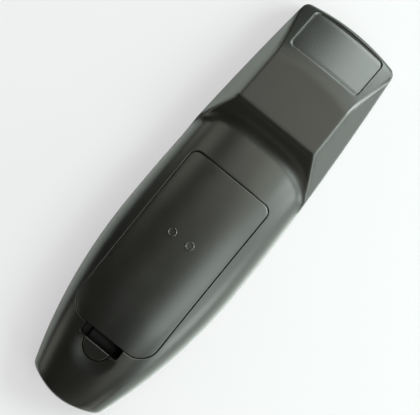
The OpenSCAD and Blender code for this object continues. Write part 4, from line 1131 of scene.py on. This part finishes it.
path = coil_node("GeometryNodeCurveSpiral", {"Resolution": 32, "Rotations": coil["Turns"], "Start Radius": coil["Base"],
                                             "End Radius": coil["Tip"], "Height": coil["Length"]})
wire = coil_node("GeometryNodeCurvePrimitiveCircle", {"Resolution": 12, "Radius": coil["Wire"]})
tube = coil_node("GeometryNodeCurveToMesh", {"Curve": path, "Profile Curve": wire, "Fill Caps": True})
tilted = coil_node("ShaderNodeCombineXYZ", {"Y": coil["Lean"]})
stood = coil_node("GeometryNodeTransform", {"Geometry": tube, "Translation": coil["Place"], "Rotation": tilted})
soft = coil_node("GeometryNodeSetShadeSmooth", {"Geometry": stood})
pair = add(coil_tree, "GeometryNodeJoinGeometry", {"Geometry": soft})
coil_tree.links.new(coil["Plate"], pair.inputs["Geometry"])
end_tree(coil_tree, pair.outputs[0], coil["Material"], "Contact")

# %% [markdown]
# The contacts are stamped from nickel-plated spring steel: a plate on the end wall of the bay
# and a tail down to the board. A plain box would do for the plate, but its edges would look
# razor sharp. So it is lofted with a small step at both faces. The contact for the button of a
# cell has a dimple in place of a spring.

# %% The three contacts
DIMPLE = ((1.6, -0.1), (1.5, 0.02), (1.2, 0.04), (0.01, 0.045))
PLATE_RINGS = ((0, 0.1), (0.06, 0), (PLATE_T - 0.06, 0), (PLATE_T, 0.1))


def contact(name, node, x, y, w, spring_y=None, way=1):
    """A plate on the bay's end wall with a tail to the board, and a spring or, without one, a dimple."""
    z, across = box_outline(TRAY_TOP_Z + 0.05, CELL_Z + 4.55, w / 2, 0.8).T
    piece = loft(name, [np.column_stack([np.full(len(z), x + t), y + across * (1 - s / w), z]) for t, s in PLATE_RINGS])
    join(piece, block("tail", x, x + PLATE_T, 1.5, BOARD_TOP_Z, TRAY_TOP_Z + 2, 0.05, y))
    if spring_y is None:
        join(piece, lathe("dimple", DIMPLE, (x, y, CELL_Z), 32, (-1, 0, 0)))
    coat(smooth(piece), nickel)
    if spring_y is not None:
        foot = x + (PLATE_T + 0.2 if way > 0 else -0.2)
        run_tree(piece, coil_tree, Turns=4.0, Base=4.2 * MM, Tip=2.5 * MM, Length=5.45 * MM, Wire=0.35 * MM,
                 Place=(foot * MM, spring_y * MM, CELL_Z * MM), Lean=math.radians(90 * way), Material=nickel)
    finish(piece, "housing", None, node)
    print(name, len(piece.data.polygons), "faces")


contact("positive_plate", "positive_contact", BAY_X1 - PLATE_T, -CELL_Y, 9)
contact("negative_plate", "negative_contact", BAY_X1 - PLATE_T, CELL_Y, 9, CELL_Y, -1)
contact("bridge_plate", "bridge_contact", BAY_X0 - PLATE_T, 0, CELL_PITCH + 9, -CELL_Y, 1)

# %% [markdown]
# One screw between the cells holds the two shells together. It has a pan head, which is a flat
# dome with a rolled edge, and a cross recess. A thread could be swept along a spiral, but it is
# out of sight in the boss, so the shank is plain. The head is turned from a profile and the
# cross is cut into it.

# %% The case screw
zinc = surface("zinc_plated_steel", "#a9a9a4", "#b3b3ae", 2, 0.2, 0.004, 0.3, Metallic=1.0)
SCREW = ((1.25, -5.4), (1.25, 0), (2.35, 0), (2.5, 0.2), (2.5, 0.75), (2.35, 1.1), (1.9, 1.38), (1.2, 1.49),
         (0.01, 1.5))
screw = lathe("screw_in_bay", SCREW, (SCREW_X, 0, TRAY_TOP_Z))
for name, reach, half in (("slot", 1.3, 0.3), ("cross", 0.3, 1.3)):
    cut(screw, block(name, SCREW_X - reach, SCREW_X + reach, half, TRAY_TOP_Z + 0.7, TRAY_TOP_Z + 3, 0.1))
finish(smooth(screw), "housing", zinc, "case_screw")
print("screw at", round(SCREW_X, 2))

# %% [markdown]
# The pieces that stay inside the closed case are the rubber sheet, the laminate board and its
# few parts. They could be remodelled as the shells are, but nobody would see it. So they keep
# their CAD meshes and get their real materials.

# %% Materials of the inner pieces
sheet_rubber = surface("silicone_rubber_black", "#1d1e1f", "#232425", 5, 0.4, 0.006, 0.7)
laminate = surface("solder_masked_laminate", "#1c4a2c", "#24563a", 2.5, 0.3, 0.008, 0.35)
tinted_epoxy = surface("smoky_violet_epoxy", "#3a2f45", "#41354d", 3, 0.8, 0.001, 0.1, IOR=1.53,
                       Transmission_Weight=0.3)
moulded_epoxy = surface("black_moulding_epoxy", "#17181a", "#1d1e20", 2, 0.15, 0.006, 0.55)
dipped_blue = surface("dipped_blue_lacquer", "#1f4d8c", "#255696", 2, 0.6, 0.004, 0.25)
sleeve_black = surface("shrunk_black_sleeve", "#16181d", "#1b1d23", 3, 0.5, 0.004, 0.3)
inside = {"keypad_mat": sheet_rubber, "circuit_board": laminate, "ir_led": tinted_epoxy,
          "controller_chip": moulded_epoxy, "drive_transistor": moulded_epoxy, "resonator": dipped_blue,
          "reservoir_capacitor": sleeve_black}
for node, material in inside.items():
    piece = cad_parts[node]
    if not piece.material_slots:
        piece.data.materials.append(material)
    for place in piece.material_slots:
        place.material = material
print("inner pieces", len(inside))

# %% [markdown]
# The picture was taken from almost straight above, with the remote lying across the frame. The
# camera leans a few degrees to one side of the remote, so a little more of that side shows. A
# near camera would make the raised head look too large. So it stands well back with a long
# lens, which keeps near and far edges at one scale.

# %% Camera
from mathutils import Matrix, Vector

TURN, LEAN, AWAY, AIM = math.radians(50.72), math.radians(3.4), 2.0, Vector((3.2, 0.85, 12.0)) * MM
stand = Matrix.Rotation(LEAN, 4, "X") @ Matrix.Rotation(-TURN, 4, "Z")
eye = bpy.data.cameras.new("camera")
eye.lens, eye.sensor_width = 433.2, 36
camera = link("camera", eye)
camera.matrix_world = Matrix.Translation(AIM + stand @ Vector((0, 0, AWAY))) @ stand
bpy.context.scene.camera = camera
RIGHT, UP = stand.col[0].xyz, stand.col[1].xyz
print("camera at", [round(v, 3) for v in camera.matrix_world.translation])

# %% [markdown]
# The remote lies on pale paper. Paper that is lit up to white would need so much light that the
# case would turn grey. So what the camera sees of the paper is partly a plain glow, which keeps
# it near white while its shadow still shows. The glow is for the camera alone and lights
# nothing.

# %% Floor
bpy.context.scene.view_settings.view_transform = "Standard"
FLOOR, FLOOR_Z, GLOW_SHARE, SKY, LAMP_SIZE = 900.0, -0.02, 0.8, 0.01, 0.45
corners = ((-1, -1), (1, -1), (1, 1), (-1, 1))
floor = solid("floor", [(x * FLOOR, y * FLOOR, FLOOR_Z) for x, y in corners], [[0, 1, 2, 3]])
paper = surface("pale_paper", "#e7e7e6", "#ebebea", 60, 0.5, 0.004, 0.9)
tree = paper.node_tree
lit, out = [next(n for n in tree.nodes if n.type == kind) for kind in ("BSDF_PRINCIPLED", "OUTPUT_MATERIAL")]
glow = add(tree, "ShaderNodeEmission", {"Color": colour("#d9d7da"), "Strength": 1.0})
seen = add(tree, "ShaderNodeLightPath").outputs["Is Camera Ray"]
share = add(tree, "ShaderNodeMath", {0: seen, 1: GLOW_SHARE}, operation="MULTIPLY").outputs[0]
shown = add(tree, "ShaderNodeMixShader", {0: share, 1: lit.outputs["BSDF"], 2: glow.outputs["Emission"]}).outputs[0]
tree.links.new(shown, out.inputs["Surface"])
coat(floor, paper)
world = bpy.data.worlds.new("world")
bpy.context.scene.world = world
world.use_nodes = True
sky = world.node_tree.nodes["Background"].inputs
sky["Color"].default_value, sky["Strength"].default_value = colour("#ffffff"), SKY
print("floor", round(2 * FLOOR), "mm square")

# %% [markdown]
# A wide window to the right gives most of the light, and smaller patches of light stand for the
# pale walls round it, so the far side of the back falls into shade. An environment picture
# could do this. Soft round lamps are used instead, because each can be set until the face that
# mirrors it has its shade in the photo.

# %% Light
def lamp(name, tint, turn, rise, watts):
    """A soft round lamp a metre off, by its bearing in the picture from the right and its height, in degrees."""
    turn, rise = math.radians(turn), math.radians(rise)
    way = (RIGHT * math.cos(turn) + UP * math.sin(turn)) * math.cos(rise) + Vector((0, 0, math.sin(rise)))
    light = bpy.data.lights.new(name, "AREA")
    light.shape, light.size, light.energy, light.color = "DISK", LAMP_SIZE, watts, colour(tint)[:3]
    link(name, light).matrix_world = Matrix.Translation(way) @ way.to_track_quat("Z", "Y").to_matrix().to_4x4()


window_lamps = ((8, 41, 10.0), (345, 32, 3.8), (345, 14, 7.5), (0, 50, 3.3), (306, 66, 2.6), (310, 14, 3.4),
                (308, 32, 1.8), (312, 50, 1.5), (45, 20, 6.4), (45, 41, 0.9))
wall_lamps = ((36, 66, 1.5), (60, 50, 0.6), (120, 14, 1.1), (120, 32, 0.15), (120, 50, 0.9), (180, 20, 0.9),
              (240, 32, 0.3), (270, 14, 1.2), (270, 50, 0.5), (0, 80, 0.5))
for group, tint, lamps in (("window", "#f2fff9", window_lamps), ("wall", "#fefff0", wall_lamps)):
    for i, lamp_place in enumerate(lamps):
        lamp(f"{group}_{i}", tint, *lamp_place)
print("lamps", len(window_lamps) + len(wall_lamps))
